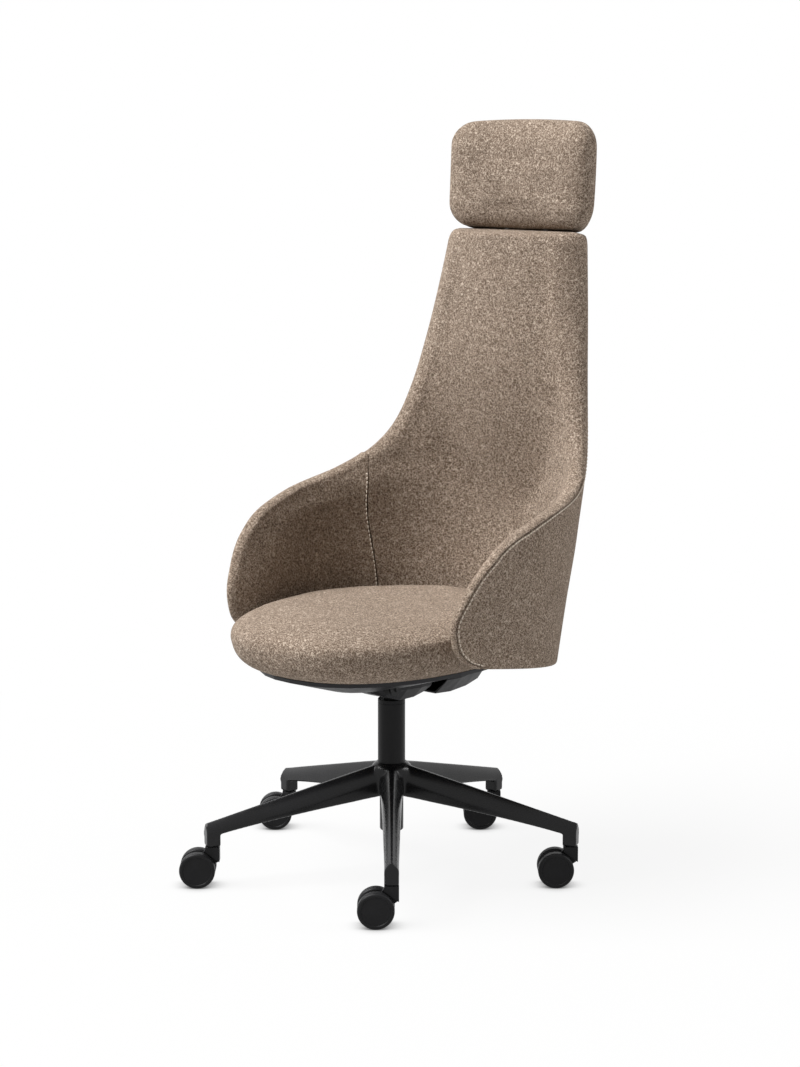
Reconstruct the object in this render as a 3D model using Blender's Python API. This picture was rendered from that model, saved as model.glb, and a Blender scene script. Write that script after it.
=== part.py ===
# Executive office chair: a high tub back in heathered fabric with a separate headrest, a round seat
# cushion, a tilting carrier on a gas column, and a five-arm base on twin-wheel castors.
# Units are metres, +Z is up, the sitter faces -Y and the sitter's left is +X.

import bpy
import bmesh
import numpy as np
from math import atan2, cos, pi, radians, sin, tan
from mathutils import Matrix, Vector

# Clearances
GAP = 0.0003                 # between pieces that seat on each other
RUN_GAP = 0.0010             # between pieces that turn or slide past each other

# Where the column axis stands in the part's own frame
COLUMN_X = 0.028
COLUMN_Y = -0.044

# Castors
WHEEL_RADIUS = 0.0325
WHEEL_WIDTH = 0.0195
WHEEL_SIDES = 16
RIM_WIDTH = 0.0050           # raised ring on the outer face
RIM_DEPTH = 0.0015
TREAD_ROUND = 0.0045
WEB_THICK = 0.0110           # the hood's web between the two wheels
AXLE_RADIUS = 0.0040
CASTOR_TRAIL = 0.0270
TRAIL_ANGLE = radians(220)   # plan direction in which every castor trails
HOOD_SIZE = 0.0256
HOOD_RISE = 0.0410           # from the axle to the hood's top face
STEM_RADIUS = 0.0055
STEM_GRIP = 0.0200           # length of stem held in the hood, and in the leg

# Five-arm base
LEG_COUNT = 5
FRONT_LEG_ANGLE = radians(-50)
LEG_REACH = 0.3400           # from the column axis to a castor stem
LEG_TIP_WIDTH = 0.0256
LEG_ROOT_WIDTH = 0.0420
LEG_TIP_HEIGHT = 0.0265
LEG_ROOT_HEIGHT = 0.0490
LEG_TIP_ROUND = 0.0050       # corner of a leg's end in plan
LEG_RIDGE = 0.0090           # flat strip on the ridge at the hub
LEG_TAPER = 1.8              # how quickly a leg loses depth away from the hub: 1 is even
BOSS_DROP = 0.0150           # from a leg's underside at the tip to its stem face
HUB_RADIUS = 0.0380
HUB_BOSS_RADIUS = 0.0218
HUB_RISE = 0.1235            # from the stem faces to the hub's top face
HUB_SHOULDER = 0.0130        # height of the hub's domed shoulder

# Gas column
TUBE_RADIUS = 0.0250
TUBE_WALL = 0.0017
TUBE_EXPOSED = 0.1240
SPIGOT_TOP_RADIUS = 0.0190
SPIGOT_LOW_RADIUS = 0.0172
SPIGOT_WALL = 0.0019
TUBE_FLOOR = 0.0060
CYLINDER_RADIUS = 0.0140
CYLINDER_WALL = 0.0022
CYLINDER_TAPER = 0.0012      # how much the seat in the mechanism narrows
ROD_RADIUS = 0.0050
COLLAR_RADIUS = 0.0095
BEARING_HEIGHT = 0.0060
PISTON_HEIGHT = 0.0120
PISTON_DEPTH = 0.0450        # from the cylinder's top to the piston at the lowest setting
RELEASE_RADIUS = 0.0030
RELEASE_STAND = 0.0060

# Tilt mechanism
MECH_CLEAR = 0.0040          # light gap between the column tube and the housing
SOCKET_DEPTH = 0.0225
HOUSING_HALF_WIDTH = 0.0550
HOUSING_FRONT = -0.0980
HOUSING_REAR = 0.0700
POCKET_HALF = 0.0430
PIVOT_Y = -0.0600
PIVOT_RISE = 0.0330          # pivot height over the housing's lowest face
PIVOT_RADIUS = 0.0060
BUSH_RADIUS = 0.0125
BUSH_LENGTH = 0.0140
TILT_LIMIT = radians(12)
CARRIER_RISE = 0.0645        # carrier plate underside over the housing's lowest face
CARRIER_THICK = 0.0040
CARRIER_HALF_WIDTH = 0.0750
CARRIER_FRONT = -0.1050
EAR_THICK = 0.0040
EAR_RADIUS = 0.0140
EAR_GAP = 0.0040             # between the housing's side and an ear
STERN_FRONT = 0.0860
STERN_TIP = 0.2660
STERN_WALL = 0.0040
STERN_DROP = 0.0100          # keel below the housing's lowest face
STOP_SIZE = 0.0180
LEVER_PIVOT_X = -0.0300
LEVER_PIN_RADIUS = 0.0020
LEVER_THICK = 0.0040
LEVER_WIDTH = 0.0140
LEVER_ROOM = 0.0090          # room left round the lever where it leaves the pan
LEVER_LIFT = radians(5)      # how far the lever is pulled up
LEVER_REACH = 0.2280
PADDLE_LENGTH = 0.0620
PADDLE_WIDTH = 0.0300

# Seat
BOARD_THICK = 0.0100
PAN_INSET = 0.0480           # pan's rim inside the cushion's widest line
BOARD_INSET = PAN_INSET + 0.0220
CUSHION_HEIGHT = 0.0860
CUSHION_WIDEST = 0.60        # share of that height at which the cushion is widest
CUSHION_CLEAR = 0.0040       # cushion to the tub's padding
CUSHION_FRONT = 0.3450       # from the tub's widest line to the cushion's front
CUSHION_SQUARE = 2.2         # exponent of the front outline: 2 is an ellipse
PAN_DEPTH = 0.0430
PAN_LIP = 0.0075             # upright part of the pan's rim
PAN_WALL = 0.0020
PAN_HALF_WIDTH_LOW = 0.0800
PAN_SLOT_CLEAR = 0.0120
PAN_DRAFT = 0.0030           # how far the rim leans in
PAN_SIDES = 36

# Tub: plan sections at heights over its rear lower edge
SECTION_HEIGHT = (0.0, 0.13, 0.25, 0.38, 0.58, 0.78)
SECTION_HALF_WIDTH = (0.2695, 0.274, 0.2835, 0.2725, 0.2605, 0.258)
SECTION_DEPTH = (0.2615, 0.3055, 0.323, 0.290, 0.2555, 0.2275)
SECTION_REAR = (0.2825, 0.326, 0.353, 0.374, 0.3865, 0.3975)
SECTION_THICK = (0.040, 0.041, 0.042, 0.048, 0.054, 0.058)
# Free edge: plan angle from the spine, in degrees, at each height
EDGE_HEIGHT = (0.0, 0.015, 0.04, 0.083, 0.167, 0.24, 0.275, 0.305, 0.335, 0.37, 0.42, 0.49, 0.58, 0.68,
               0.76, 0.781, 0.791)
EDGE_WRAP = (113.4, 118.6, 121.1, 122.2, 117.8, 111.9, 106.2, 94.4, 74.6, 60.7, 52.3, 47.5, 43.4, 39.4,
             36.4, 35.7, 32.7)
# The wall thins towards the free edge on its inner side: share of its inner half left at the edge
THIN_HEIGHT = (0.0, 0.25, 0.36, 0.45, 0.791)
THIN_SHARE = (-0.25, -0.2, 0.1, 0.3, 0.35)
THIN_REACH = 0.0700          # over this distance from the edge
# Extra padding that fills the hollow of the back in front of the spine
FILL_HEIGHT = (0.0, 0.20, 0.25, 0.30, 0.36, 0.45, 0.58, 0.70, 0.791)
FILL_DEPTH = (0.0, 0.0, 0.008, 0.026, 0.044, 0.048, 0.046, 0.040, 0.030)
FILL_BLEND = 0.2             # how softly the filling runs out towards the sides
SEAM_WRAP_LOW = 50.0         # seam between the back and an arm, at the seat
SEAM_WRAP_HIGH = 62.0        # and at the free edge
SEAM_ROUND = 0.0050
SEAM_GAP = 0.0010            # sewn crease between two pads
TUB_DROP = 0.0250            # rear lower edge below the seat board
TUB_RAKE = 0.1667            # rise of the lower edge for each unit forward
RAKE_FADE = 0.2500           # height over which that rise dies out
ARM_TOE = 0.8700             # how fast the arms close in ahead of the widest line
SHELL_THICK = 0.0120         # moulded shell with its outer fabric
SHELL_COLUMNS = 11           # on each side of the spine
PAD_GAP = 0.0020             # glue line between the shell and the padding
LIP = 0.0170                 # padding that wraps over the shell's edge on the back
ARM_LIP = 0.0060             # and on the arms
LIP_CHANGE = (0.25, 0.40)    # heights between which one turns into the other
LIP_CLEAR = 0.0014
LIP_RAMP = 0.0040            # height over which the back's lip grows out above the seam's end
PAD_FOOT = 0.0650            # the back padding starts this far over the rear lower edge
ROW_STEP = 0.0150            # between drawn levels where the free edge bends
BRACKET_COLUMN = 3           # facet of the shell, counted from the spine, that a bracket stands on
BRACKET_WIDTH = 0.0300
BRACKET_THICK = 0.0030
BRACKET_LENGTH = 0.0350      # length of foot under the board
BRACKET_RISE = 0.0330
BRACKET_CLEAR = 0.0009       # upright to the shell's inside, which is faceted

# Headrest
HEADREST_WIDTH = 0.3200
HEADREST_HEIGHT = 0.2050
HEADREST_THICK = 0.0620
HEADREST_CORNER = 0.0520
HEADREST_ROUND = 0.0230
HEADREST_CROWN = 0.0040
HEADREST_BEND = 0.7500       # plan radius
HEADREST_FORWARD = 0.0080    # ahead of the back's middle surface
HEADREST_SLIT = 0.0040
HEADREST_TRAVEL = 0.0600     # how far the headrest can be drawn up
POST_RADIUS = 0.0050
POST_SPREAD = 0.0900         # between the two posts
POST_GRIP = 0.0700           # how far the yoke rises behind the headrest board
GUIDE_SIZE = 0.0160
GUIDE_LENGTH = HEADREST_TRAVEL + 0.0700
CORE_WIDTH = 0.1900
CORE_HEIGHT = 0.1250
CORE_THICK = 0.0100

# Colours, linear
FABRIC = (0.290, 0.224, 0.172)
BLACK_METAL = (0.012, 0.012, 0.013)
BLACK_PLASTIC = (0.016, 0.016, 0.017)
STEEL = (0.45, 0.45, 0.46)
PLYWOOD = (0.47, 0.33, 0.19)
RUBBER = (0.010, 0.010, 0.010)

# Heights that follow from the sizes above
AXLE_Z = WHEEL_RADIUS
HOOD_TOP = AXLE_Z + HOOD_RISE
STEM_FACE = HOOD_TOP + RUN_GAP
LEG_UNDER_TIP = STEM_FACE + BOSS_DROP
HUB_TOP = STEM_FACE + HUB_RISE
TUBE_FOOT = STEM_FACE + 0.006
TUBE_TOP = HUB_TOP + GAP + TUBE_EXPOSED
HOUSING_LOW = TUBE_TOP + MECH_CLEAR
POCKET_FLOOR = HOUSING_LOW + SOCKET_DEPTH
PIVOT_Z = HOUSING_LOW + PIVOT_RISE
CARRIER_LOW = HOUSING_LOW + CARRIER_RISE
CARRIER_TOP = CARRIER_LOW + CARRIER_THICK
BOARD_LOW = CARRIER_TOP + GAP
BOARD_TOP = BOARD_LOW + BOARD_THICK
CUSHION_LOW = BOARD_TOP + GAP
TUB_LOW = BOARD_LOW - TUB_DROP
TUB_HEIGHT = EDGE_HEIGHT[-1]


# Scene helpers

def clear_scene():
    for item in list(bpy.data.objects):
        bpy.data.objects.remove(item)


def make_material(name, colour, roughness, metallic):
    material = bpy.data.materials.new(name)
    material.use_nodes = True
    shader = material.node_tree.nodes["Principled BSDF"]
    shader.inputs["Base Color"].default_value = (*colour, 1.0)
    shader.inputs["Roughness"].default_value = roughness
    shader.inputs["Metallic"].default_value = metallic
    return material


def empty(name, location, parent=None):
    item = bpy.data.objects.new(name, None)
    item.empty_display_size = 0.03
    item.location = location
    item.parent = parent
    bpy.context.scene.collection.objects.link(item)
    return item


def piece(name, mesh, look, parent, location=(0, 0, 0), rotation=(0, 0, 0)):
    colour, roughness, metallic = look
    item = bpy.data.objects.new(name, mesh)
    mesh.materials.clear()
    mesh.materials.append(make_material(name, colour, roughness, metallic))
    item.parent = parent
    item.location = location
    item.rotation_euler = rotation
    bpy.context.scene.collection.objects.link(item)
    mesh.shade_smooth()
    mesh.set_sharp_from_angle(angle=radians(35))
    return item


def cutter(name, mesh, like):
    item = bpy.data.objects.new(name, mesh)
    item.parent = like.parent
    item.location = like.location
    item.rotation_euler = like.rotation_euler
    item.hide_render = True
    item.display_type = "WIRE"
    bpy.context.scene.collection.objects.link(item)
    return item


def boolean(item, mesh, operation):
    tool = cutter(item.name + "_tool", mesh, item)
    modifier = item.modifiers.new(operation.lower(), "BOOLEAN")
    modifier.operation = operation
    modifier.solver = "EXACT"
    modifier.object = tool


def baked_mesh(item, name):
    depsgraph = bpy.context.evaluated_depsgraph_get()
    mesh = bpy.data.meshes.new_from_object(item.evaluated_get(depsgraph))
    mesh.name = name
    return mesh


# Mesh makers

def finish_mesh(shape, name):
    bmesh.ops.remove_doubles(shape, verts=shape.verts, dist=1e-6)
    bmesh.ops.recalc_face_normals(shape, faces=shape.faces)
    mesh = bpy.data.meshes.new(name)
    shape.to_mesh(mesh)
    shape.free()
    return mesh


def mesh_from(points, faces, name):
    mesh = bpy.data.meshes.new(name)
    mesh.from_pydata([tuple(p) for p in points], [], faces)
    shape = bmesh.new()
    shape.from_mesh(mesh)
    bpy.data.meshes.remove(mesh)
    return finish_mesh(shape, name)


def turned(name, profile, sides=24, closed=True):
    # A half section (radius, height) spun round Z. An open profile starts and ends on the axis.
    shape = bmesh.new()
    ring = [shape.verts.new((r, 0, z)) for r, z in profile]
    pairs = list(zip(ring, ring[1:] + ring[:1])) if closed else list(zip(ring, ring[1:]))
    edges = [shape.edges.new(pair) for pair in pairs]
    bmesh.ops.spin(shape, geom=ring + edges, cent=(0, 0, 0), axis=(0, 0, 1), angle=2 * pi,
                   steps=sides, use_merge=True)
    return finish_mesh(shape, name)


def solid_round(name, radius, low, high, sides=16, chamfer=0.0):
    profile = [(0, low), (radius - chamfer, low), (radius, low + chamfer), (radius, high - chamfer),
               (radius - chamfer, high), (0, high)]
    if chamfer == 0.0:
        profile = [(0, low), (radius, low), (radius, high), (0, high)]
    return turned(name, profile, sides, closed=False)


def prism(name, outline, low, high):
    # A closed outline in plan, raised from low to high.
    shape = bmesh.new()
    face = shape.faces.new([shape.verts.new((x, y, low)) for x, y in outline])
    raised = bmesh.ops.extrude_face_region(shape, geom=[face])["geom"]
    movers = [v for v in raised if isinstance(v, bmesh.types.BMVert)]
    bmesh.ops.translate(shape, verts=movers, vec=(0, 0, high - low))
    return finish_mesh(shape, name)


def box(name, low, high):
    outline = [(low[0], low[1]), (high[0], low[1]), (high[0], high[1]), (low[0], high[1])]
    return prism(name, outline, low[2], high[2])


def moved(mesh, matrix):
    mesh.transform(matrix)
    return mesh


def along_x(mesh):
    return moved(mesh, Matrix.Rotation(pi / 2, 4, "Y"))


def along_y(mesh):
    return moved(mesh, Matrix.Rotation(-pi / 2, 4, "X"))


def stood_up(mesh):
    # A prism drawn as a side view: its plan Y becomes height.
    return moved(mesh, Matrix.Rotation(pi / 2, 4, "X"))


def joined(name, meshes):
    # Separate bodies kept side by side in one mesh.
    shape = bmesh.new()
    for mesh in meshes:
        shape.from_mesh(mesh)
        bpy.data.meshes.remove(mesh)
    bmesh.ops.recalc_face_normals(shape, faces=shape.faces)
    mesh = bpy.data.meshes.new(name)
    shape.to_mesh(mesh)
    shape.free()
    return mesh


def tube_mesh(name, path, radius):
    # A round bar along a path, with flat ends.
    curve = bpy.data.curves.new(name, "CURVE")
    curve.dimensions = "3D"
    curve.bevel_depth = radius
    curve.bevel_resolution = 3
    curve.use_fill_caps = True
    spline = curve.splines.new("POLY")
    spline.points.add(len(path) - 1)
    for point, at in zip(spline.points, path):
        point.co = (*at, 1.0)
    item = bpy.data.objects.new(name, curve)
    bpy.context.scene.collection.objects.link(item)
    mesh = baked_mesh(item, name)
    bpy.data.objects.remove(item)
    return mesh


def loft(name, rings, looped=False):
    # Rings of equal length, joined in order, with flat ends or closed on themselves.
    count = len(rings[0])
    points = [p for ring in rings for p in ring]
    faces = []
    spans = len(rings) if looped else len(rings) - 1
    for k in range(spans):
        a = k * count
        b = ((k + 1) % len(rings)) * count
        faces += [(a + i, a + (i + 1) % count, b + (i + 1) % count, b + i) for i in range(count)]
    if not looped:
        faces.append(tuple(range(count))[::-1])
        faces.append(tuple((len(rings) - 1) * count + i for i in range(count)))
    return mesh_from(points, faces, name)


def closed_grid(name, lower, upper):
    # Two grids of points joined along their borders; each cell is split on its shorter diagonal.
    rows, columns = lower.shape[:2]
    count = rows * columns
    points = np.concatenate([lower.reshape(-1, 3), upper.reshape(-1, 3)])
    index = np.arange(count).reshape(rows, columns)
    corners = np.stack([index[:-1, :-1], index[:-1, 1:], index[1:, 1:], index[1:, :-1]], -1).reshape(-1, 4)
    faces = []
    for shift, order in ((0, (3, 2, 1, 0)), (count, (0, 1, 2, 3))):
        for a, b, c, d in (corners[:, order] + shift).tolist():
            first = np.linalg.norm(points[a] - points[c])
            second = np.linalg.norm(points[b] - points[d])
            faces += [(a, b, c), (a, c, d)] if first < second else [(b, c, d), (b, d, a)]
    border = np.concatenate([index[0, :-1], index[:-1, -1], index[-1, :0:-1], index[:0:-1, 0]])
    for k, low in enumerate(border):
        after = border[(k + 1) % len(border)]
        faces.append((int(low), int(after), int(after + count), int(low + count)))
    return mesh_from(points, faces, name)


def rounded_outline(half_x, half_y, radius, per_corner=4, centre=(0.0, 0.0)):
    points = []
    for k in range(4):
        sx = (1, -1, -1, 1)[k]
        sy = (1, 1, -1, -1)[k]
        for i in range(per_corner + 1):
            angle = k * pi / 2 + i * pi / 2 / per_corner
            points.append((centre[0] + sx * (half_x - radius) + radius * cos(angle),
                           centre[1] + sy * (half_y - radius) + radius * sin(angle)))
    return points


def smooth_through(stations, values):
    # A curve through the given stations that never overshoots between them.
    x = np.array(stations, float)
    y = np.array(values, float)
    step = np.diff(x)
    rise = np.diff(y) / step
    slope = np.zeros(len(x))
    slope[0] = rise[0]
    slope[-1] = rise[-1]
    for i in range(1, len(x) - 1):
        if rise[i - 1] * rise[i] > 0:
            weight = (2 * step[i] + step[i - 1], step[i] + 2 * step[i - 1])
            slope[i] = sum(weight) / (weight[0] / rise[i - 1] + weight[1] / rise[i])

    def curve(at):
        at = np.clip(np.asarray(at, float), x[0], None)
        i = np.clip(np.searchsorted(x, at, side="right") - 1, 0, len(x) - 2)
        t = (at - x[i]) / step[i]
        inside = np.minimum(t, 1.0)
        h00 = (1 + 2 * inside) * (1 - inside) ** 2
        h10 = inside * (1 - inside) ** 2
        h01 = inside ** 2 * (3 - 2 * inside)
        h11 = inside ** 2 * (inside - 1)
        value = h00 * y[i] + h10 * step[i] * slope[i] + h01 * y[i + 1] + h11 * step[i] * slope[i + 1]
        return value + np.maximum(t - 1.0, 0.0) * step[i] * slope[i + 1]

    return curve


# Tub surface

half_width_at = smooth_through(SECTION_HEIGHT, SECTION_HALF_WIDTH)
depth_at = smooth_through(SECTION_HEIGHT, SECTION_DEPTH)
rear_at = smooth_through(SECTION_HEIGHT, SECTION_REAR)
thick_at = smooth_through(SECTION_HEIGHT, SECTION_THICK)
edge_wrap_at = smooth_through(EDGE_HEIGHT, np.radians(EDGE_WRAP))
thin_at = smooth_through(THIN_HEIGHT, THIN_SHARE)
fill_at = smooth_through(FILL_HEIGHT, FILL_DEPTH)
lip_at = smooth_through((0.0,) + LIP_CHANGE + (TUB_HEIGHT,), (ARM_LIP, ARM_LIP, LIP, LIP))


def tub_point(wrap, level, offset):
    # A point on the tub at a plan angle from the spine and a level over the rear lower edge,
    # moved outward by offset. Ahead of the widest line the sides run on nearly straight.
    wrap, level, offset = np.broadcast_arrays(wrap, level, offset)
    side = np.sign(wrap)
    turn = np.minimum(np.abs(wrap), pi / 2)
    ahead = np.abs(wrap) - turn
    forward = depth_at(level) * (1 - np.cos(turn) + ahead)
    fade = np.clip(1 - level / RAKE_FADE, 0, 1)
    height = level + TUB_RAKE * fade * forward
    a = half_width_at(height)
    b = depth_at(height)
    run = b * ahead
    x = a * np.sin(turn) - ARM_TOE * run ** 2
    y = rear_at(height) - b * (1 - np.cos(turn)) - run
    nx = np.where(ahead > 0, 1.0, b * np.sin(turn))
    ny = np.where(ahead > 0, -2 * ARM_TOE * run, a * np.cos(turn))
    size = np.hypot(nx, ny)
    return np.stack([side * (x + offset * nx / size), y + offset * ny / size, TUB_LOW + height], -1)


def half_thick(level):
    return 0.5 * thick_at(level)


def shell_inner(level):
    return half_thick(level) - SHELL_THICK


def pad_outer(level):
    return shell_inner(level) - PAD_GAP


def row_speed(wrap, level):
    # How a point moves for each radian of plan angle.
    small = 1e-4
    return (tub_point(wrap + small, level, 0.0) - tub_point(wrap - small, level, 0.0)) / (2 * small)


def square_speed(wrap, level, wrap_at):
    # The part of that motion which is square to an edge given as a plan angle at each level.
    small = 1e-3
    ahead = tub_point(wrap_at(level + small), level + small, 0.0)
    behind = tub_point(wrap_at(level - small), level - small, 0.0)
    edge = ahead - behind
    edge = edge / np.linalg.norm(edge, axis=-1, keepdims=True)
    row = row_speed(wrap, level)
    square = np.linalg.norm(np.cross(row, edge), axis=-1)
    return np.maximum(square, 0.35 * np.linalg.norm(row, axis=-1))


def seam_top():
    # Level where the free edge has come in to the seam.
    levels = np.linspace(EDGE_HEIGHT[5], EDGE_HEIGHT[9], 200)
    wraps = np.degrees(edge_wrap_at(levels))
    return float(levels[np.argmax(wraps < SEAM_WRAP_HIGH)])


def seam_wrap_at(level):
    share = np.clip((np.asarray(level, float) - PAD_FOOT) / (seam_top() - PAD_FOOT), 0, 1)
    return np.radians(SEAM_WRAP_LOW + (SEAM_WRAP_HIGH - SEAM_WRAP_LOW) * share)


def shell_edge_at(level):
    # The shell stops inside the free edge, so that the padding can wrap over it.
    edge = edge_wrap_at(level)
    return edge - (lip_at(level) + LIP_CLEAR) / square_speed(edge, level, edge_wrap_at)


def lip_start():
    # Level where the shell's edge has come in to the seam: above it the back padding has a lip.
    levels = np.linspace(EDGE_HEIGHT[3], seam_top(), 400)
    return float(levels[np.argmax(shell_edge_at(levels) < seam_wrap_at(levels))])


def tub_rows():
    # Levels shared by every layer of the tub, closer together where its edge bends.
    lip = lip_start()
    seam = seam_top()
    shell_top = TUB_HEIGHT - LIP - LIP_CLEAR
    low = [0.0, SEAM_ROUND, 0.5 * PAD_FOOT, PAD_FOOT, PAD_FOOT + SEAM_ROUND]
    arm = np.linspace(PAD_FOOT + 2.7 * ROW_STEP, lip - 5 * ROW_STEP, 3)
    bend = lip + ROW_STEP * np.array([-3.0, -2.0, -1.0, 0.0])
    ramp = lip + LIP_RAMP * np.array([1.0, 2.0])
    join = seam + ROW_STEP * np.array([0.0, 0.8, 2.0])
    back = np.linspace(seam + 4 * ROW_STEP, shell_top - 4 * ROW_STEP, 5)
    top = TUB_HEIGHT - LIP * np.array([0.95, 0.55, 0.2, 0.0])
    return np.concatenate([low, arm, bend, ramp, join, back, [shell_top - SEAM_ROUND, shell_top], top])


def round_share(distance, radius):
    # Half thickness of a rounded edge, as a share of the full one, with a narrow flat nose.
    t = np.clip(distance / radius, 0, 1)
    return np.maximum(np.sqrt(1 - (1 - t) ** 2), 0.30)


def sewn_share(distance):
    # A gentler round for an edge that is sewn to its neighbour.
    return 1 - 0.3 * (1 - round_share(distance, SEAM_ROUND))


def edge_stations(rows):
    # Distances from the free edge at which the rounded lip is drawn on each row, out to the shell's edge.
    lip = lip_at(rows)[:, None]
    return np.concatenate([np.array([0.0, 0.2, 0.55, 0.95]) * lip, lip, lip + LIP_CLEAR], -1)


def wall_faces(from_side, level, rounded):
    # Inner and outer offsets of the padded wall: the outer face runs straight to the rounded edge, and
    # the inner one draws near it at the sides.
    near = np.clip(1 - from_side / THIN_REACH, 0, 1)
    share = 1 - (1 - thin_at(level)) * near ** 2
    middle = 0.5 * half_thick(level) * (1 - share)
    reach = 0.5 * half_thick(level) * (1 + share)
    return middle - reach * rounded, middle + reach * rounded


def back_filling(wrap, level, from_side):
    # Depth of the extra padding: as deep as the hollow at the spine, less the sides' own curve.
    deepest = np.maximum(fill_at(level), 1e-9)
    left = 1 - depth_at(level) * (1 - np.cos(wrap)) / deepest
    soft = 0.5 * (left + np.sqrt(left ** 2 + FILL_BLEND ** 2))
    near = np.clip(from_side / THIN_REACH, 0, 1)
    return deepest * soft * near * (2 - near)


def build_back_pad(body, look):
    # Padding of the back: it ends at the two arm seams below and wraps over the shell's edge above.
    rows = tub_rows()
    rows = rows[rows >= PAD_FOOT - 1e-9]
    seam = seam_wrap_at(rows)
    free = edge_wrap_at(rows)
    side = np.minimum(seam, free)
    speed = square_speed(free, rows, edge_wrap_at)
    stations = edge_stations(rows)
    inmost = np.minimum(free - stations[:, -1] / speed, np.where(rows > lip_start() + 1e-6, 1.0, 0.93) * seam)
    even = inmost[:, None] + (side - inmost)[:, None] * (1 - np.linspace(0, 1, stations.shape[1]))
    outer_columns = np.minimum(free[:, None] - stations / speed[:, None], even)
    half = np.concatenate([inmost[:, None] * np.linspace(0, 1, 6)[:-1], outer_columns[:, ::-1]], -1)
    wrap = np.concatenate([-half[:, :0:-1], half], -1)
    level = np.broadcast_to(rows[:, None], wrap.shape)
    from_side = (free[:, None] - np.abs(wrap)) * speed[:, None]
    from_edge = np.minimum(from_side, TUB_HEIGHT - level)
    row = np.linalg.norm(row_speed(seam, rows), axis=-1)
    from_seam = np.where(free[:, None] < seam[:, None], 1.0, (seam[:, None] - np.abs(wrap)) * row[:, None])
    wrapped = round_share(from_edge, lip_at(level))
    inner, lip_face = wall_faces(from_side, level, wrapped)
    inner = inner * sewn_share(from_seam) * sewn_share(level - PAD_FOOT)
    inner = inner - back_filling(wrap, level, from_side) * np.cos(wrap) * wrapped
    on_lip = (from_edge <= lip_at(level) + 1e-6) & (level > lip_start() + 1.5 * LIP_RAMP)
    outer = np.where(on_lip, lip_face, pad_outer(level))
    mesh = closed_grid("back_pad", tub_point(wrap, level, inner), tub_point(wrap, level, outer))
    return piece("back_pad", mesh, look, body)


def build_arm_pad(name, side, body, look):
    # Padding of one arm, from the back seam to the free edge, wrapping over the shell's edge.
    rows = tub_rows()
    rows = rows[rows < seam_top() - 0.4 * ROW_STEP]
    edge = edge_wrap_at(rows)
    speed = square_speed(edge, rows, edge_wrap_at)
    seam = seam_wrap_at(rows)
    row = np.linalg.norm(row_speed(seam, rows), axis=-1)
    seam = seam + SEAM_GAP / row
    stations = edge_stations(rows)
    whole = rows > lip_start() - 1e-6
    inmost = np.where(whole, seam + 0.5 * (edge - seam), edge - stations[:, -1] / speed)
    reach = np.where(whole, (edge - inmost) * speed / stations[:, -1], 1.0)
    outer_columns = edge[:, None] - stations * (reach / speed)[:, None]
    first = np.minimum(seam + SEAM_ROUND / row, seam + 0.2 * (inmost - seam))
    middle = first[:, None] + (inmost - first)[:, None] * np.linspace(0, 1, 6)[:-1]
    wrap = np.concatenate([seam[:, None], middle, outer_columns[:, ::-1]], -1)
    level = np.broadcast_to(rows[:, None], wrap.shape)
    from_edge = (edge[:, None] - wrap) * speed[:, None]
    from_seam = (wrap - seam[:, None]) * row[:, None]
    wrapped = round_share(from_edge, lip_at(level))
    inner, lip_face = wall_faces(from_edge, level, wrapped)
    inner = inner * sewn_share(from_seam) * sewn_share(level)
    on_lip = (from_edge <= lip_at(level) + 1e-6) | whole[:, None]
    on_lip[rows <= lip_start() + 1e-6, :7] = False
    outer = np.where(on_lip, lip_face * sewn_share(level), pad_outer(level))
    mesh = closed_grid(name, tub_point(side * wrap, level, inner), tub_point(side * wrap, level, outer))
    return piece(name, mesh, look, body)


def shell_columns(rows):
    # Plan angles of the shell's columns at each level, on the sitter's left.
    edge = shell_edge_at(rows)
    inmost = edge - SEAM_ROUND / square_speed(edge, rows, shell_edge_at)
    return np.concatenate([inmost[:, None] * np.linspace(0, 1, SHELL_COLUMNS), edge[:, None]], -1)


def build_shell(body, look):
    # Moulded shell with the outer fabric glued on: one skin from arm to arm, stopping short of the edge.
    rows = tub_rows()
    rows = rows[rows <= TUB_HEIGHT - LIP - LIP_CLEAR + 1e-9]
    half = shell_columns(rows)
    wrap = np.concatenate([-half[:, :0:-1], half], -1)
    level = np.broadcast_to(rows[:, None], wrap.shape)
    border = np.ones(wrap.shape, bool)
    border[1:-1, 1:-1] = False
    outer = half_thick(level) - 0.4 * SEAM_ROUND * border
    mesh = closed_grid("tub_shell", tub_point(wrap, level, shell_inner(level)), tub_point(wrap, level, outer))
    return piece("tub_shell", mesh, look, body)


# Castors and base

def wheel_mesh(name):
    # Turned about the axle, from the inner face at 0 to the outer face at WHEEL_WIDTH. The sides
    # are turned half a step, so that one flat stands square on the floor.
    stretch = 1 / cos(pi / WHEEL_SIDES)
    rim = WHEEL_RADIUS - TREAD_ROUND
    profile = [(AXLE_RADIUS + GAP, 0), (rim, 0), (WHEEL_RADIUS, TREAD_ROUND),
               (WHEEL_RADIUS, WHEEL_WIDTH - TREAD_ROUND), (rim, WHEEL_WIDTH), (rim - RIM_WIDTH, WHEEL_WIDTH),
               (rim - RIM_WIDTH - RIM_DEPTH, WHEEL_WIDTH - RIM_DEPTH),
               (AXLE_RADIUS + GAP, WHEEL_WIDTH - RIM_DEPTH)]
    mesh = turned(name, [(r * stretch, z) for r, z in profile], WHEEL_SIDES)
    mesh = moved(mesh, Matrix.Rotation(pi / WHEEL_SIDES, 4, "Z"))
    return along_y(mesh)


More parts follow.
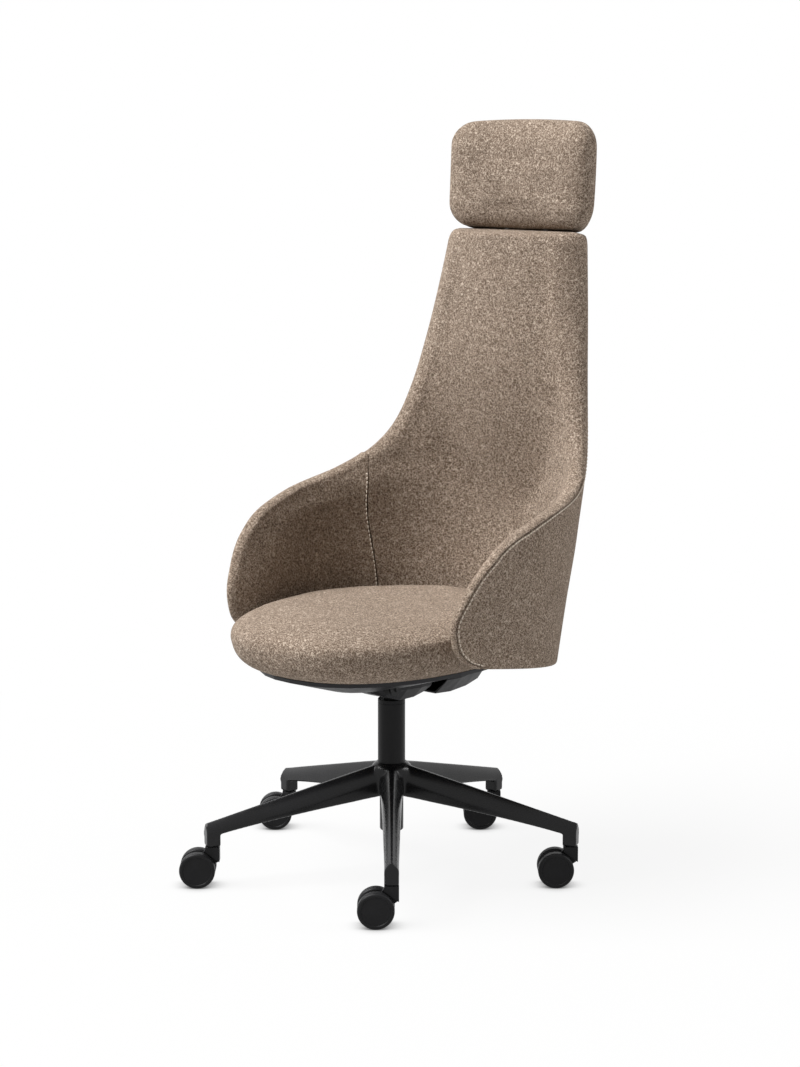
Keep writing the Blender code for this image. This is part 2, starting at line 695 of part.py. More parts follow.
def hood_mesh():
    # A square neck under the stem with a slanted underside over the wheels, and a web that runs
    # down between the wheels to the axle. Drawn in the trail plane, height measured from the axle.
    half = HOOD_SIZE / 2
    over_wheel = WHEEL_RADIUS + 2 * RUN_GAP
    rear_low = (over_wheel ** 2 - (CASTOR_TRAIL - half) ** 2) ** 0.5
    front_low = rear_low - HOOD_SIZE * 0.70
    block = [(-half, HOOD_RISE), (-half, front_low), (half, rear_low), (half, HOOD_RISE)]
    eye = AXLE_RADIUS * 2.6
    web = [(half - RUN_GAP, HOOD_RISE - 0.004), (-half + RUN_GAP, HOOD_RISE - 0.004),
           (-half + RUN_GAP, front_low)]
    web += [(CASTOR_TRAIL + eye * cos(a), eye * sin(a)) for a in np.radians([230, 270, 310, 350, 30, 70])]
    item = piece("hood_work", stood_up(prism("hood", block, -half, half)), (BLACK_PLASTIC, 0.4, 0.0), None)
    boolean(item, stood_up(prism("web", web, -WEB_THICK / 2, WEB_THICK / 2)), "UNION")
    axle = moved(along_y(solid_round("axle", AXLE_RADIUS + GAP, -HOOD_SIZE, HOOD_SIZE)),
                 Matrix.Translation((CASTOR_TRAIL, 0, 0)))
    stem = solid_round("stem", STEM_RADIUS + GAP, HOOD_RISE - STEM_GRIP - GAP, HOOD_RISE + STEM_GRIP)
    boolean(item, joined("bores", [axle, stem]), "DIFFERENCE")
    mesh = baked_mesh(item, "castor_hood")
    for extra in [o for o in bpy.data.objects if o.name.startswith("hood_work")]:
        bpy.data.objects.remove(extra)
    return mesh


def leg_ring(reach, width, low, high, arch, ridge):
    # Cross-section of a leg: chamfered foot, upright sides and a pointed arch with a narrow flat top.
    spring = high - arch
    chamfer = 0.12 * width
    right = [(0.5 * width - chamfer, low), (0.5 * width, low + chamfer), (0.5 * width, spring),
             (0.37 * width, spring + 0.55 * arch), (max(0.5 * ridge, 0.0006), high)]
    return [(reach, y, z) for y, z in right] + [(reach, -y, z) for y, z in reversed(right)]


def leg_mesh(name):
    half_boss = LEG_TIP_WIDTH / 2
    root = HUB_RADIUS * 0.79
    tip = LEG_REACH + half_boss
    heel = LEG_REACH - half_boss
    tip_top = LEG_UNDER_TIP + LEG_TIP_HEIGHT
    root_top = HUB_TOP - HUB_SHOULDER * 0.35
    rings = []
    for share in (0.0, 0.08, 0.25, 0.5, 0.78, 1.0):
        reach = root + (heel - root) * share
        flare = (LEG_ROOT_WIDTH - LEG_TIP_WIDTH) * (0.75 * (1 - share) + 0.25 * (1 - share) ** 6)
        high = root_top + (tip_top - root_top) * share * (heel - root) / (tip - root)
        deep = LEG_TIP_HEIGHT + (LEG_ROOT_HEIGHT - LEG_TIP_HEIGHT) * (1 - share) ** LEG_TAPER
        arch = min(0.72 * deep, 0.030)
        rings.append(leg_ring(reach, LEG_TIP_WIDTH + flare, high - deep, high, arch, LEG_RIDGE * (1 - share)))
    arch = 0.72 * LEG_TIP_HEIGHT
    for reach, width in ((heel + 0.0012, 1.0), (tip - LEG_TIP_ROUND, 1.0), (tip, 0.66)):
        high = root_top + (tip_top - root_top) * (reach - root) / (tip - root)
        rings.append(leg_ring(reach, LEG_TIP_WIDTH * width, STEM_FACE, high, arch, 0.0))
    return loft(name, rings)


def build_base(body):
    look = (BLACK_METAL, 0.45, 0.2)
    shoulder = HUB_TOP - HUB_SHOULDER
    top_radius = TUBE_RADIUS + 0.0020
    waist = shoulder - LEG_ROOT_HEIGHT * 0.72
    profile = [(0, STEM_FACE), (HUB_BOSS_RADIUS - 0.002, STEM_FACE), (HUB_BOSS_RADIUS, STEM_FACE + 0.002),
               (HUB_BOSS_RADIUS, waist - 0.012), (HUB_RADIUS * 0.9, waist), (HUB_RADIUS, waist + 0.008),
               (HUB_RADIUS, shoulder), (HUB_RADIUS * 0.86, HUB_TOP - HUB_SHOULDER * 0.3),
               (top_radius, HUB_TOP), (0, HUB_TOP)]
    base = piece("star_base", turned("star_base", profile, 30, closed=False), look, body)
    legs = []
    stems = []
    for k in range(LEG_COUNT):
        turn = Matrix.Rotation(FRONT_LEG_ANGLE + 2 * pi * k / LEG_COUNT, 4, "Z")
        legs.append(moved(leg_mesh("leg"), turn))
        place = turn @ Matrix.Translation((LEG_REACH, 0, 0))
        high = STEM_FACE + STEM_GRIP
        stems.append(moved(solid_round("bore", STEM_RADIUS + GAP, STEM_FACE - 0.01, high + GAP), place))
        pin = moved(solid_round("castor_stem", STEM_RADIUS, HOOD_TOP - STEM_GRIP, high, 12), place)
        piece(f"castor_stem_{k + 1}", pin, (STEEL, 0.3, 1.0), body)
    boolean(base, joined("legs", legs), "UNION")
    bore = turned("hub_bore", [(0, STEM_FACE - 0.01), (SPIGOT_LOW_RADIUS + GAP, STEM_FACE - 0.01),
                               (SPIGOT_LOW_RADIUS + GAP, TUBE_FOOT), (SPIGOT_TOP_RADIUS + GAP, HUB_TOP),
                               (SPIGOT_TOP_RADIUS + GAP, HUB_TOP + 0.01), (0, HUB_TOP + 0.01)], 24,
                  closed=False)
    boolean(base, joined("bores", stems + [bore]), "DIFFERENCE")


def build_castors(root):
    hood = hood_mesh()
    wheel = wheel_mesh("castor_wheel")
    axle_half = WEB_THICK / 2 + RUN_GAP + WHEEL_WIDTH - RIM_DEPTH - 0.001
    axle = along_y(solid_round("castor_axle", AXLE_RADIUS, -axle_half, axle_half, 12))
    inner_face = WEB_THICK / 2 + RUN_GAP
    for k in range(LEG_COUNT):
        angle = FRONT_LEG_ANGLE + 2 * pi * k / LEG_COUNT
        stem = (LEG_REACH * cos(angle), LEG_REACH * sin(angle), AXLE_Z)
        swivel = empty(f"castor_swivel_{k + 1}", stem, root)
        swivel.rotation_euler = (0, 0, TRAIL_ANGLE)
        piece(f"castor_hood_{k + 1}", hood.copy(), (BLACK_PLASTIC, 0.42, 0.0), swivel)
        axle_at = (CASTOR_TRAIL, 0, 0)
        piece(f"castor_axle_{k + 1}", axle.copy(), (STEEL, 0.3, 1.0), swivel, axle_at)
        for letter, turn in (("a", 0.0), ("b", pi)):
            side = 1 if letter == "a" else -1
            at = (CASTOR_TRAIL, side * inner_face, 0)
            piece(f"castor_wheel_{letter}_{k + 1}", wheel.copy(), (BLACK_PLASTIC, 0.38, 0.0), swivel, at,
                  (0, 0, turn))


# Gas column

def build_column(base_body, swivel_body, lift_body):
    black = (BLACK_METAL, 0.42, 0.2)
    steel = (STEEL, 0.25, 1.0)
    seat = HUB_TOP + GAP
    bush_seat = seat + 0.004
    bore = SPIGOT_LOW_RADIUS - SPIGOT_WALL
    floor_top = TUBE_FOOT + TUBE_FLOOR
    wide = TUBE_RADIUS - TUBE_WALL
    hole = ROD_RADIUS + 2 * GAP
    tube = [(TUBE_RADIUS, TUBE_TOP - 0.001), (TUBE_RADIUS, seat), (SPIGOT_TOP_RADIUS, seat),
            (SPIGOT_LOW_RADIUS, TUBE_FOOT), (hole, TUBE_FOOT), (hole, floor_top), (bore, floor_top),
            (bore, bush_seat), (wide, bush_seat), (wide, TUBE_TOP), (TUBE_RADIUS - 0.001, TUBE_TOP)]
    piece("column_tube", turned("column_tube", tube, 24), black, base_body)
    slide = CYLINDER_RADIUS + GAP
    bush = [(wide - GAP, TUBE_TOP - 0.001), (wide - GAP, bush_seat + GAP), (slide, bush_seat + GAP),
            (slide, TUBE_TOP - 0.001)]
    piece("guide_bush", turned("guide_bush", bush, 24), (BLACK_PLASTIC, 0.5, 0.0), base_body)
    bearing_top = floor_top + GAP + BEARING_HEIGHT
    bearing = [(bore - GAP, bearing_top), (bore - GAP, floor_top + GAP), (hole, floor_top + GAP),
               (hole, bearing_top)]
    piece("thrust_bearing", turned("thrust_bearing", bearing, 16), steel, base_body)

    cylinder_top = POCKET_FLOOR - GAP
    piston_top = cylinder_top - PISTON_DEPTH
    clip_low = TUBE_FOOT - GAP - 0.0025
    collar_low = bearing_top + GAP
    piston = CYLINDER_RADIUS - CYLINDER_WALL - GAP
    groove = ROD_RADIUS - 0.0012
    rod = [(0, clip_low - 0.0015), (ROD_RADIUS, clip_low - 0.0015), (ROD_RADIUS, clip_low - GAP),
           (groove, clip_low - GAP), (groove, TUBE_FOOT - GAP), (ROD_RADIUS, TUBE_FOOT - GAP),
           (ROD_RADIUS, collar_low), (COLLAR_RADIUS, collar_low), (COLLAR_RADIUS, collar_low + 0.004),
           (ROD_RADIUS, collar_low + 0.004), (ROD_RADIUS, piston_top - PISTON_HEIGHT),
           (piston, piston_top - PISTON_HEIGHT), (piston, piston_top), (0, piston_top)]
    piece("piston_rod", turned("piston_rod", rod, 16, closed=False), steel, swivel_body)
    clip = [(COLLAR_RADIUS, TUBE_FOOT - GAP), (COLLAR_RADIUS, clip_low), (groove + GAP, clip_low),
            (groove + GAP, TUBE_FOOT - GAP)]
    piece("column_clip", turned("column_clip", clip, 16), steel, swivel_body)

    low = collar_low + 0.004 + RUN_GAP
    inner = CYLINDER_RADIUS - CYLINDER_WALL
    taper_from = HOUSING_LOW - 0.001
    pin_hole = RELEASE_RADIUS + GAP
    cylinder = [(CYLINDER_RADIUS, taper_from), (CYLINDER_RADIUS, low), (ROD_RADIUS + GAP, low),
                (ROD_RADIUS + GAP, low + 0.008), (inner, low + 0.008),
                (inner, cylinder_top - 0.008), (pin_hole, cylinder_top - 0.008), (pin_hole, cylinder_top),
                (CYLINDER_RADIUS - CYLINDER_TAPER, cylinder_top)]
    piece("gas_cylinder", turned("gas_cylinder", cylinder, 24), (BLACK_METAL, 0.3, 0.6), lift_body)
    pin_top = POCKET_FLOOR + RELEASE_STAND
    head = RELEASE_RADIUS + 0.0012
    pin_low = cylinder_top - 0.012
    pin = [(0, pin_low), (RELEASE_RADIUS, pin_low), (RELEASE_RADIUS, pin_top - 0.002), (head, pin_top - 0.002),
           (head, pin_top), (0, pin_top)]
    release = empty("release_axis", (0, 0, pin_top), lift_body)
    piece("release_pin", turned("release_pin", [(r, z - pin_top) for r, z in pin], 16, closed=False), steel,
          release)


# Tilt mechanism

def housing_ring(y, top_width, mid_width, low_width, top, middle, low):
    right = [(top_width, top), (mid_width, middle), (low_width, low)]
    return [(x, y, z) for x, z in right] + [(-x, y, z) for x, z in reversed(right)]


def carrier_drop(y):
    # How far the carrier plate comes down over a point of the housing at full tilt.
    return max(0.0, (y - PIVOT_Y) * tan(TILT_LIMIT))


def build_housing(body):
    # A boat-shaped casting: its open top slopes down to the rear, below the tilted carrier.
    w = HOUSING_HALF_WIDTH
    deck = CARRIER_LOW - 0.0165
    rise = HOUSING_LOW
    span = HOUSING_REAR - HOUSING_FRONT

    def top(y):
        return deck + 0.002 - 0.0225 * (y - HOUSING_FRONT) / span

    at = [HOUSING_FRONT + span * share for share in (0.0, 0.22, 0.46, 0.70, 0.91, 1.0)]
    rings = [housing_ring(at[0], 0.64 * w, 0.60 * w, 0.36 * w, top(at[0]), rise + 0.038, rise + 0.027),
             housing_ring(at[1], 0.95 * w, 0.91 * w, 0.62 * w, top(at[1]), rise + 0.029, rise + 0.014),
             housing_ring(at[2], w, w, 0.66 * w, top(at[2]), rise + 0.023, rise + 0.0005),
             housing_ring(at[3], w, w, 0.66 * w, top(at[3]), rise + 0.020, rise),
             housing_ring(at[4], 0.92 * w, 0.90 * w, 0.60 * w, top(at[4]), rise + 0.018, rise + 0.004),
             housing_ring(at[5], 0.74 * w, 0.72 * w, 0.46 * w, top(at[5]), rise + 0.020, rise + 0.010)]
    look = (BLACK_METAL, 0.45, 0.2)
    item = piece("mech_housing", loft("mech_housing", rings), look, body)
    over = CARRIER_TOP
    pocket = prism("pocket", rounded_outline(POCKET_HALF, 0.034, 0.008, 3, (0, 0.008)), POCKET_FLOOR, over)
    lever_z = POCKET_FLOOR + RELEASE_STAND + GAP
    notch = box("notch", (-2 * w, -LEVER_WIDTH / 2 - 0.003, lever_z - 0.003), (-POCKET_HALF + 0.002,
                LEVER_WIDTH / 2 + 0.003, over))
    boolean(item, pocket, "DIFFERENCE")
    boolean(item, notch, "DIFFERENCE")
    lug_top = lever_z + LEVER_THICK + 0.003
    lugs = []
    for sign in (-1, 1):
        y0 = sign * (LEVER_WIDTH / 2 + RUN_GAP)
        y1 = y0 + sign * 0.005
        lugs.append(box("lug", (LEVER_PIVOT_X - 0.006, min(y0, y1), POCKET_FLOOR - 0.002),
                        (LEVER_PIVOT_X + 0.006, max(y0, y1), lug_top)))
    boolean(item, joined("lugs", lugs), "UNION")
    socket = turned("socket", [(0, rise - 0.01), (CYLINDER_RADIUS + GAP, rise - 0.01),
                               (CYLINDER_RADIUS + GAP, rise - 0.001),
                               (CYLINDER_RADIUS - CYLINDER_TAPER + GAP, POCKET_FLOOR + 0.001),
                               (0, POCKET_FLOOR + 0.001)], 32, closed=False)
    pivot = moved(along_x(solid_round("pivot", PIVOT_RADIUS + GAP, -2 * w, 2 * w)),
                  Matrix.Translation((0, PIVOT_Y, PIVOT_Z)))
    boolean(item, socket, "DIFFERENCE")
    boolean(item, pivot, "DIFFERENCE")
    counterbores = []
    for sign in (-1, 1):
        low = sign * (w - BUSH_LENGTH)
        high = sign * 2 * w
        bore = along_x(solid_round("counterbore", BUSH_RADIUS + GAP, min(low, high), max(low, high), 20))
        counterbores.append(moved(bore, Matrix.Translation((0, PIVOT_Y, PIVOT_Z))))
    boolean(item, joined("counterbores", counterbores), "DIFFERENCE")
    lever_pin = along_y(solid_round("lever_bore", LEVER_PIN_RADIUS + GAP, -0.03, 0.03, 12))
    axis = (LEVER_PIVOT_X, 0, lever_z + LEVER_THICK / 2)
    boolean(item, moved(lever_pin, Matrix.Translation(axis)), "DIFFERENCE")

    ear_outer = w + EAR_GAP + EAR_THICK
    pin = along_x(solid_round("pivot_pin", PIVOT_RADIUS, -ear_outer - 0.003, ear_outer + 0.003, 16, 0.001))
    piece("pivot_pin", moved(pin, Matrix.Translation((0, PIVOT_Y, PIVOT_Z))), (STEEL, 0.3, 1.0), body)
    for name, sign in (("torsion_bush_left", 1), ("torsion_bush_right", -1)):
        ring = [(BUSH_RADIUS, BUSH_LENGTH - GAP), (BUSH_RADIUS, GAP), (PIVOT_RADIUS + GAP, GAP),
                (PIVOT_RADIUS + GAP, BUSH_LENGTH - GAP)]
        bush = moved(along_x(turned(name, ring, 20)), Matrix.Translation((w - BUSH_LENGTH, 0, 0)))
        bush.transform(Matrix.Rotation(0 if sign > 0 else pi, 4, "Z"))
        piece(name, moved(bush, Matrix.Translation((0, PIVOT_Y, PIVOT_Z))), (RUBBER, 0.8, 0.0), body)
    half = STOP_SIZE / 2
    places = (("front_stop", HOUSING_FRONT + 0.014, CARRIER_LOW - GAP),
              ("rear_stop", HOUSING_REAR - 0.016, None))
    for name, y, high in places:
        wedge = []
        for yy in (y - half / 2, y + half / 2):
            ceiling = high if high else CARRIER_LOW - carrier_drop(yy) - 0.001
            wedge.append([(-half, yy, top(yy) + GAP), (half, yy, top(yy) + GAP), (half, yy, ceiling),
                          (-half, yy, ceiling)])
        piece(name, loft(name, wedge), (RUBBER, 0.8, 0.0), body)
    pin_half = LEVER_WIDTH / 2 + RUN_GAP + 0.005
    pin = along_y(solid_round("lever_pin", LEVER_PIN_RADIUS, -pin_half, pin_half, 12))
    piece("lever_pin", moved(pin, Matrix.Translation(axis)), (STEEL, 0.3, 1.0), body)


def build_lever(body):
    # Height lever: a finger over the release pin, a hub on the lever pin, a flat bar and a paddle.
    axis_z = POCKET_FLOOR + RELEASE_STAND + GAP + LEVER_THICK / 2
    pivot = empty("lever_axis", (LEVER_PIVOT_X, 0, axis_z), body)
    t = LEVER_THICK / 2
    w = LEVER_WIDTH / 2
    p = PADDLE_WIDTH / 2
    out = -LEVER_REACH - LEVER_PIVOT_X
    neck = out + PADDLE_LENGTH
    finger = -LEVER_PIVOT_X + RELEASE_RADIUS + 0.001
    tip = [(out + p * (1 - sin(a)), p * cos(a)) for a in np.linspace(0, pi, 9)]
    outline = [(finger, -0.6 * w), (finger, 0.6 * w), (0.006, w), (neck + 0.012, w), (neck - 0.006, p)] + tip
    outline += [(neck - 0.006, -p), (neck + 0.012, -w), (0.006, -w)]
    item = piece("height_lever", prism("height_lever", outline, -t, t), (BLACK_PLASTIC, 0.4, 0.0), pivot)
    boolean(item, along_y(solid_round("hub", LEVER_THICK, -w, w, 16)), "UNION")
    boolean(item, along_y(solid_round("eye", LEVER_PIN_RADIUS + GAP, -0.03, 0.03, 12)), "DIFFERENCE")


def stern_ring(y, half, low, high, wall=0.0):
    right = [(half - wall, high), (half - wall, low + 0.40 * (high - low)),
             (0.55 * half - 0.6 * wall, low + wall)]
    return [(x, y, z) for x, z in right] + [(-x, y, z) for x, z in reversed(right)]


def build_carrier(body):
    # The tilting carrier: a plate under the seat board, two ears on the pivot pin, and a boat-shaped
    # stern that runs back under the tub.
    w = CARRIER_HALF_WIDTH
    rear = STERN_TIP - 0.055
    right = [(0.6 * w, CARRIER_FRONT), (w, CARRIER_FRONT + 0.03), (w, 0.10), (0.72 * w, 0.16), (0.40 * w, rear)]
    outline = right + [(-x, y) for x, y in reversed(right)]
    look = (BLACK_METAL, 0.45, 0.2)
    item = piece("tilt_carrier", prism("tilt_carrier", outline, CARRIER_LOW, CARRIER_TOP), look, body)
    inner = HOUSING_HALF_WIDTH + EAR_GAP
    ears = []
    for sign in (-1, 1):
        low = min(sign * inner, sign * (inner + EAR_THICK))
        turns = np.radians([180, 225, 270, 315, 360])
        side = [(PIVOT_Y + EAR_RADIUS * cos(a), PIVOT_Z + EAR_RADIUS * sin(a)) for a in turns]
        side += [(PIVOT_Y + 2 * EAR_RADIUS, CARRIER_LOW + 0.001), (PIVOT_Y - 2 * EAR_RADIUS, CARRIER_LOW + 0.001)]
        rings = [[(x, y, z) for y, z in side] for x in (low, low + EAR_THICK)]
        ears.append(loft("ear", rings))
    boolean(item, joined("ears", ears), "UNION")
    span = STERN_TIP - STERN_FRONT
    keel = HOUSING_LOW - STERN_DROP
    stations = ((0.0, 0.062, keel + 0.004), (0.25, 0.060, keel), (0.55, 0.050, keel + 0.001),
                (0.80, 0.036, keel + 0.006), (1.0, 0.012, keel + 0.016))
    high = CARRIER_LOW + 0.001
    outer = []
    hollow = []
    for share, half, low in stations:
        y = STERN_FRONT + span * share
        fall = 0.022 * max(0.0, share - 0.55) / 0.45
        outer.append(stern_ring(y, half, low, high - fall))
        hollow.append(stern_ring(y - 2 * STERN_WALL, half, low, high - fall - STERN_WALL, STERN_WALL))
    boolean(item, loft("stern", outer), "UNION")
    boolean(item, loft("hollow", hollow[:4]), "DIFFERENCE")
    pivot = moved(along_x(solid_round("pivot", PIVOT_RADIUS + GAP, -0.2, 0.2)),
                  Matrix.Translation((0, PIVOT_Y, PIVOT_Z)))
    boolean(item, pivot, "DIFFERENCE")


# Seat

def seat_level():
    return CUSHION_LOW + CUSHION_WIDEST * CUSHION_HEIGHT - TUB_LOW


def seat_outline(inset, count=48):
    # Rear half: the tub's padding, brought in by the clearance. Front half: a squarer round nose.
    level = seat_level()
    half = float(half_width_at(level) - half_thick(level)) - CUSHION_CLEAR
    deep = float(depth_at(level) - half_thick(level)) - CUSHION_CLEAR
    centre = float(rear_at(level) - depth_at(level))
    points = []
    for k in range(count):
        angle = 2 * pi * k / count
        c = cos(angle)
        s = sin(angle)
        if s >= 0:
            points.append(((half - inset) * c, centre + (deep - inset) * s))
        else:
            power = 2 / CUSHION_SQUARE
            x = (half - inset) * abs(c) ** power * (1 if c > 0 else -1)
            points.append((x, centre - (CUSHION_FRONT - inset) * abs(s) ** power))
    return points


def ring_at(inset, z, count=48):
    return [(x, y, z) for x, y in seat_outline(inset, count)]


def build_seat(body):
    # Puffed cushion: drawn in underneath, widest below the middle, with a crowned top.
    shares = ((0.090, 0.0), (0.053, 0.0), (0.037, 0.04), (0.020, 0.145), (0.008, 0.30), (0.002, 0.465),
              (0.0, CUSHION_WIDEST), (0.002, 0.72), (0.009, 0.82), (0.024, 0.90), (0.055, 0.955),
              (0.120, 0.99), (0.200, 1.0))
    rings = [ring_at(inset, CUSHION_LOW + share * CUSHION_HEIGHT) for inset, share in shares]
    piece("seat_cushion", loft("seat_cushion", rings), (FABRIC, 0.95, 0.0), body)
    board = prism("seat_board", seat_outline(BOARD_INSET), BOARD_LOW, BOARD_TOP)
    piece("seat_board", board, (PLYWOOD, 0.6, 0.0), body)

    # Dished pan under the board, open in the middle for the mechanism and notched for the brackets.
    top = CUSHION_LOW - GAP
    floor_inset = PAN_INSET + seat_outline(PAN_INSET)[0][0] - PAN_HALF_WIDTH_LOW
    shares = ((PAN_INSET, 0.0), (PAN_INSET + PAN_DRAFT, PAN_LIP), (floor_inset, PAN_DEPTH))
    outer = [ring_at(inset, top - drop, PAN_SIDES) for inset, drop in shares]
    shares = ((PAN_INSET + PAN_WALL, 0.0), (PAN_INSET + PAN_DRAFT + PAN_WALL, PAN_LIP - PAN_WALL),
              (floor_inset, PAN_DEPTH - PAN_WALL))
    inner = [ring_at(inset, top - drop, PAN_SIDES) for inset, drop in shares]
    dish = loft("seat_pan", outer + inner[::-1], looped=True)
    pan = piece("seat_pan", dish, (BLACK_PLASTIC, 0.5, 0.0), body)
    half = CARRIER_HALF_WIDTH + PAN_SLOT_CLEAR
    front = CARRIER_FRONT - PAN_SLOT_CLEAR
    rear = STERN_TIP + PAN_SLOT_CLEAR
    outline = [(-half, front), (half, front), (half, STERN_FRONT), (0.5 * half, rear), (-0.5 * half, rear),
               (-half, STERN_FRONT)]
    boolean(pan, prism("slot", outline, HOUSING_LOW, BOARD_TOP), "DIFFERENCE")
    lever_z = POCKET_FLOOR + RELEASE_STAND
    reach = 0.5 * LEVER_WIDTH + LEVER_ROOM
    tilt_fall = (reach - PIVOT_Y) * sin(TILT_LIMIT)
    lever_rise = (seat_outline(PAN_INSET)[0][0] + LEVER_PIVOT_X) * sin(LEVER_LIFT)
    slot_top = lever_z + LEVER_THICK + tilt_fall + lever_rise + RUN_GAP
    lever_slot = box("lever_slot", (-LEVER_REACH - PADDLE_LENGTH, -reach, lever_z - LEVER_ROOM),
                     (-CARRIER_HALF_WIDTH, reach, slot_top))
    boolean(pan, lever_slot, "DIFFERENCE")
    for side in (1, -1):
        boolean(pan, bracket_notch(side), "DIFFERENCE")


def bracket_frame(side):
    # Corner of a bracket under the shell, the way out from it, the upright's lean and rise, and the
    # length of the foot that lies under the board. The upright stands on one flat facet of the shell.
    heights = CARRIER_TOP - BRACKET_THICK + np.array([0.0, BRACKET_RISE])
    levels = heights - TUB_LOW
    for _ in range(4):
        wraps = side * shell_columns(levels)[:, BRACKET_COLUMN:BRACKET_COLUMN + 2]
        ends = tub_point(wraps, levels[:, None], shell_inner(levels)[:, None] - BRACKET_CLEAR)
        face = ends.mean(1)
        levels = levels + heights - face[:, 2]
    chord = Vector(ends[0, 1] - ends[0, 0]) * side
    out = Vector((-chord.y, chord.x, 0)).normalized()
    corner = Vector((face[0][0], face[0][1], heights[0]))
    edge = [Vector((x, y, corner.z)) for x, y in seat_outline(BOARD_INSET)]
    reach = min((corner - p).dot(out) for p in edge if (corner - p).cross(out).length < BRACKET_WIDTH)
    lean = Vector(face[1] - face[0]).dot(out)
    return corner, out, lean, BRACKET_RISE, reach + BRACKET_LENGTH


def bracket_bar(name, corner, out, section, width):
    # A section drawn along the way out and upward, carried across to a width.
    across = Vector((-out.y, out.x, 0))
    up = Vector((0, 0, 1))
    rings = []
    for side in (-0.5, 0.5):
        start = corner + across * side * width
        rings.append([tuple(start + out * u + up * v) for u, v in section])
    return loft(name, rings)


def bracket_notch(side):
    corner, out, lean, rise, foot = bracket_frame(side)
    section = [(0, -RUN_GAP), (0, rise), (-foot - RUN_GAP, rise), (-foot - RUN_GAP, -RUN_GAP)]
    return bracket_bar("notch", corner, out, section, BRACKET_WIDTH + 2 * RUN_GAP)


def build_brackets(body):
    # Angle brackets: a foot under the seat board and an upright against the shell's inside.
    for name, side in (("tub_bracket_left", 1), ("tub_bracket_right", -1)):
        corner, out, lean, rise, foot = bracket_frame(side)
        t = BRACKET_THICK
        section = [(0, 0), (lean, rise), (lean - t, rise), (lean * t / rise - t, t), (-foot, t), (-foot, 0)]
        piece(name, bracket_bar(name, corner, out, section, BRACKET_WIDTH), (BLACK_METAL, 0.5, 0.4), body)


# Headrest

def slide_frame():
    # The headrest slides along the spine's lean near the back's top.
    high = tub_point(0.0, TUB_HEIGHT, 0.0)
    low = tub_point(0.0, TUB_HEIGHT - GUIDE_LENGTH, 0.0)
    lean = atan2(high[1] - low[1], high[2] - low[2])
    return Vector(high), lean


def post_offset():
    # How far behind the middle surface the guides sit, just clear of the shell's inside.
    origin, lean = slide_frame()
    corner = POST_SPREAD / 2 + GUIDE_SIZE / 2
    rooms = []
    for down in (0.0, 0.5, 1.0):
        level = TUB_HEIGHT - GUIDE_LENGTH * down - LIP
        wrap = corner / float(half_width_at(level))
        point = tub_point(wrap, level, shell_inner(level))
        fall = origin.z - point[2]
        rooms.append(float(point[1]) - (origin.y - fall * tan(lean)))
    return min(rooms) - GUIDE_SIZE / 2 - GAP - 0.0004


def headrest_ring(inset, y, per_corner=6):
    half_x = HEADREST_WIDTH / 2 - inset
    half_z = HEADREST_HEIGHT / 2 - inset
    radius = max(HEADREST_CORNER - inset, 0.3 * HEADREST_CORNER)
    middle = HEADREST_SLIT + HEADREST_HEIGHT / 2
    ring = rounded_outline(half_x, half_z, radius, per_corner)
    return [(x, y - HEADREST_FORWARD - x * x / (2 * HEADREST_BEND), z + middle) for x, z in ring]


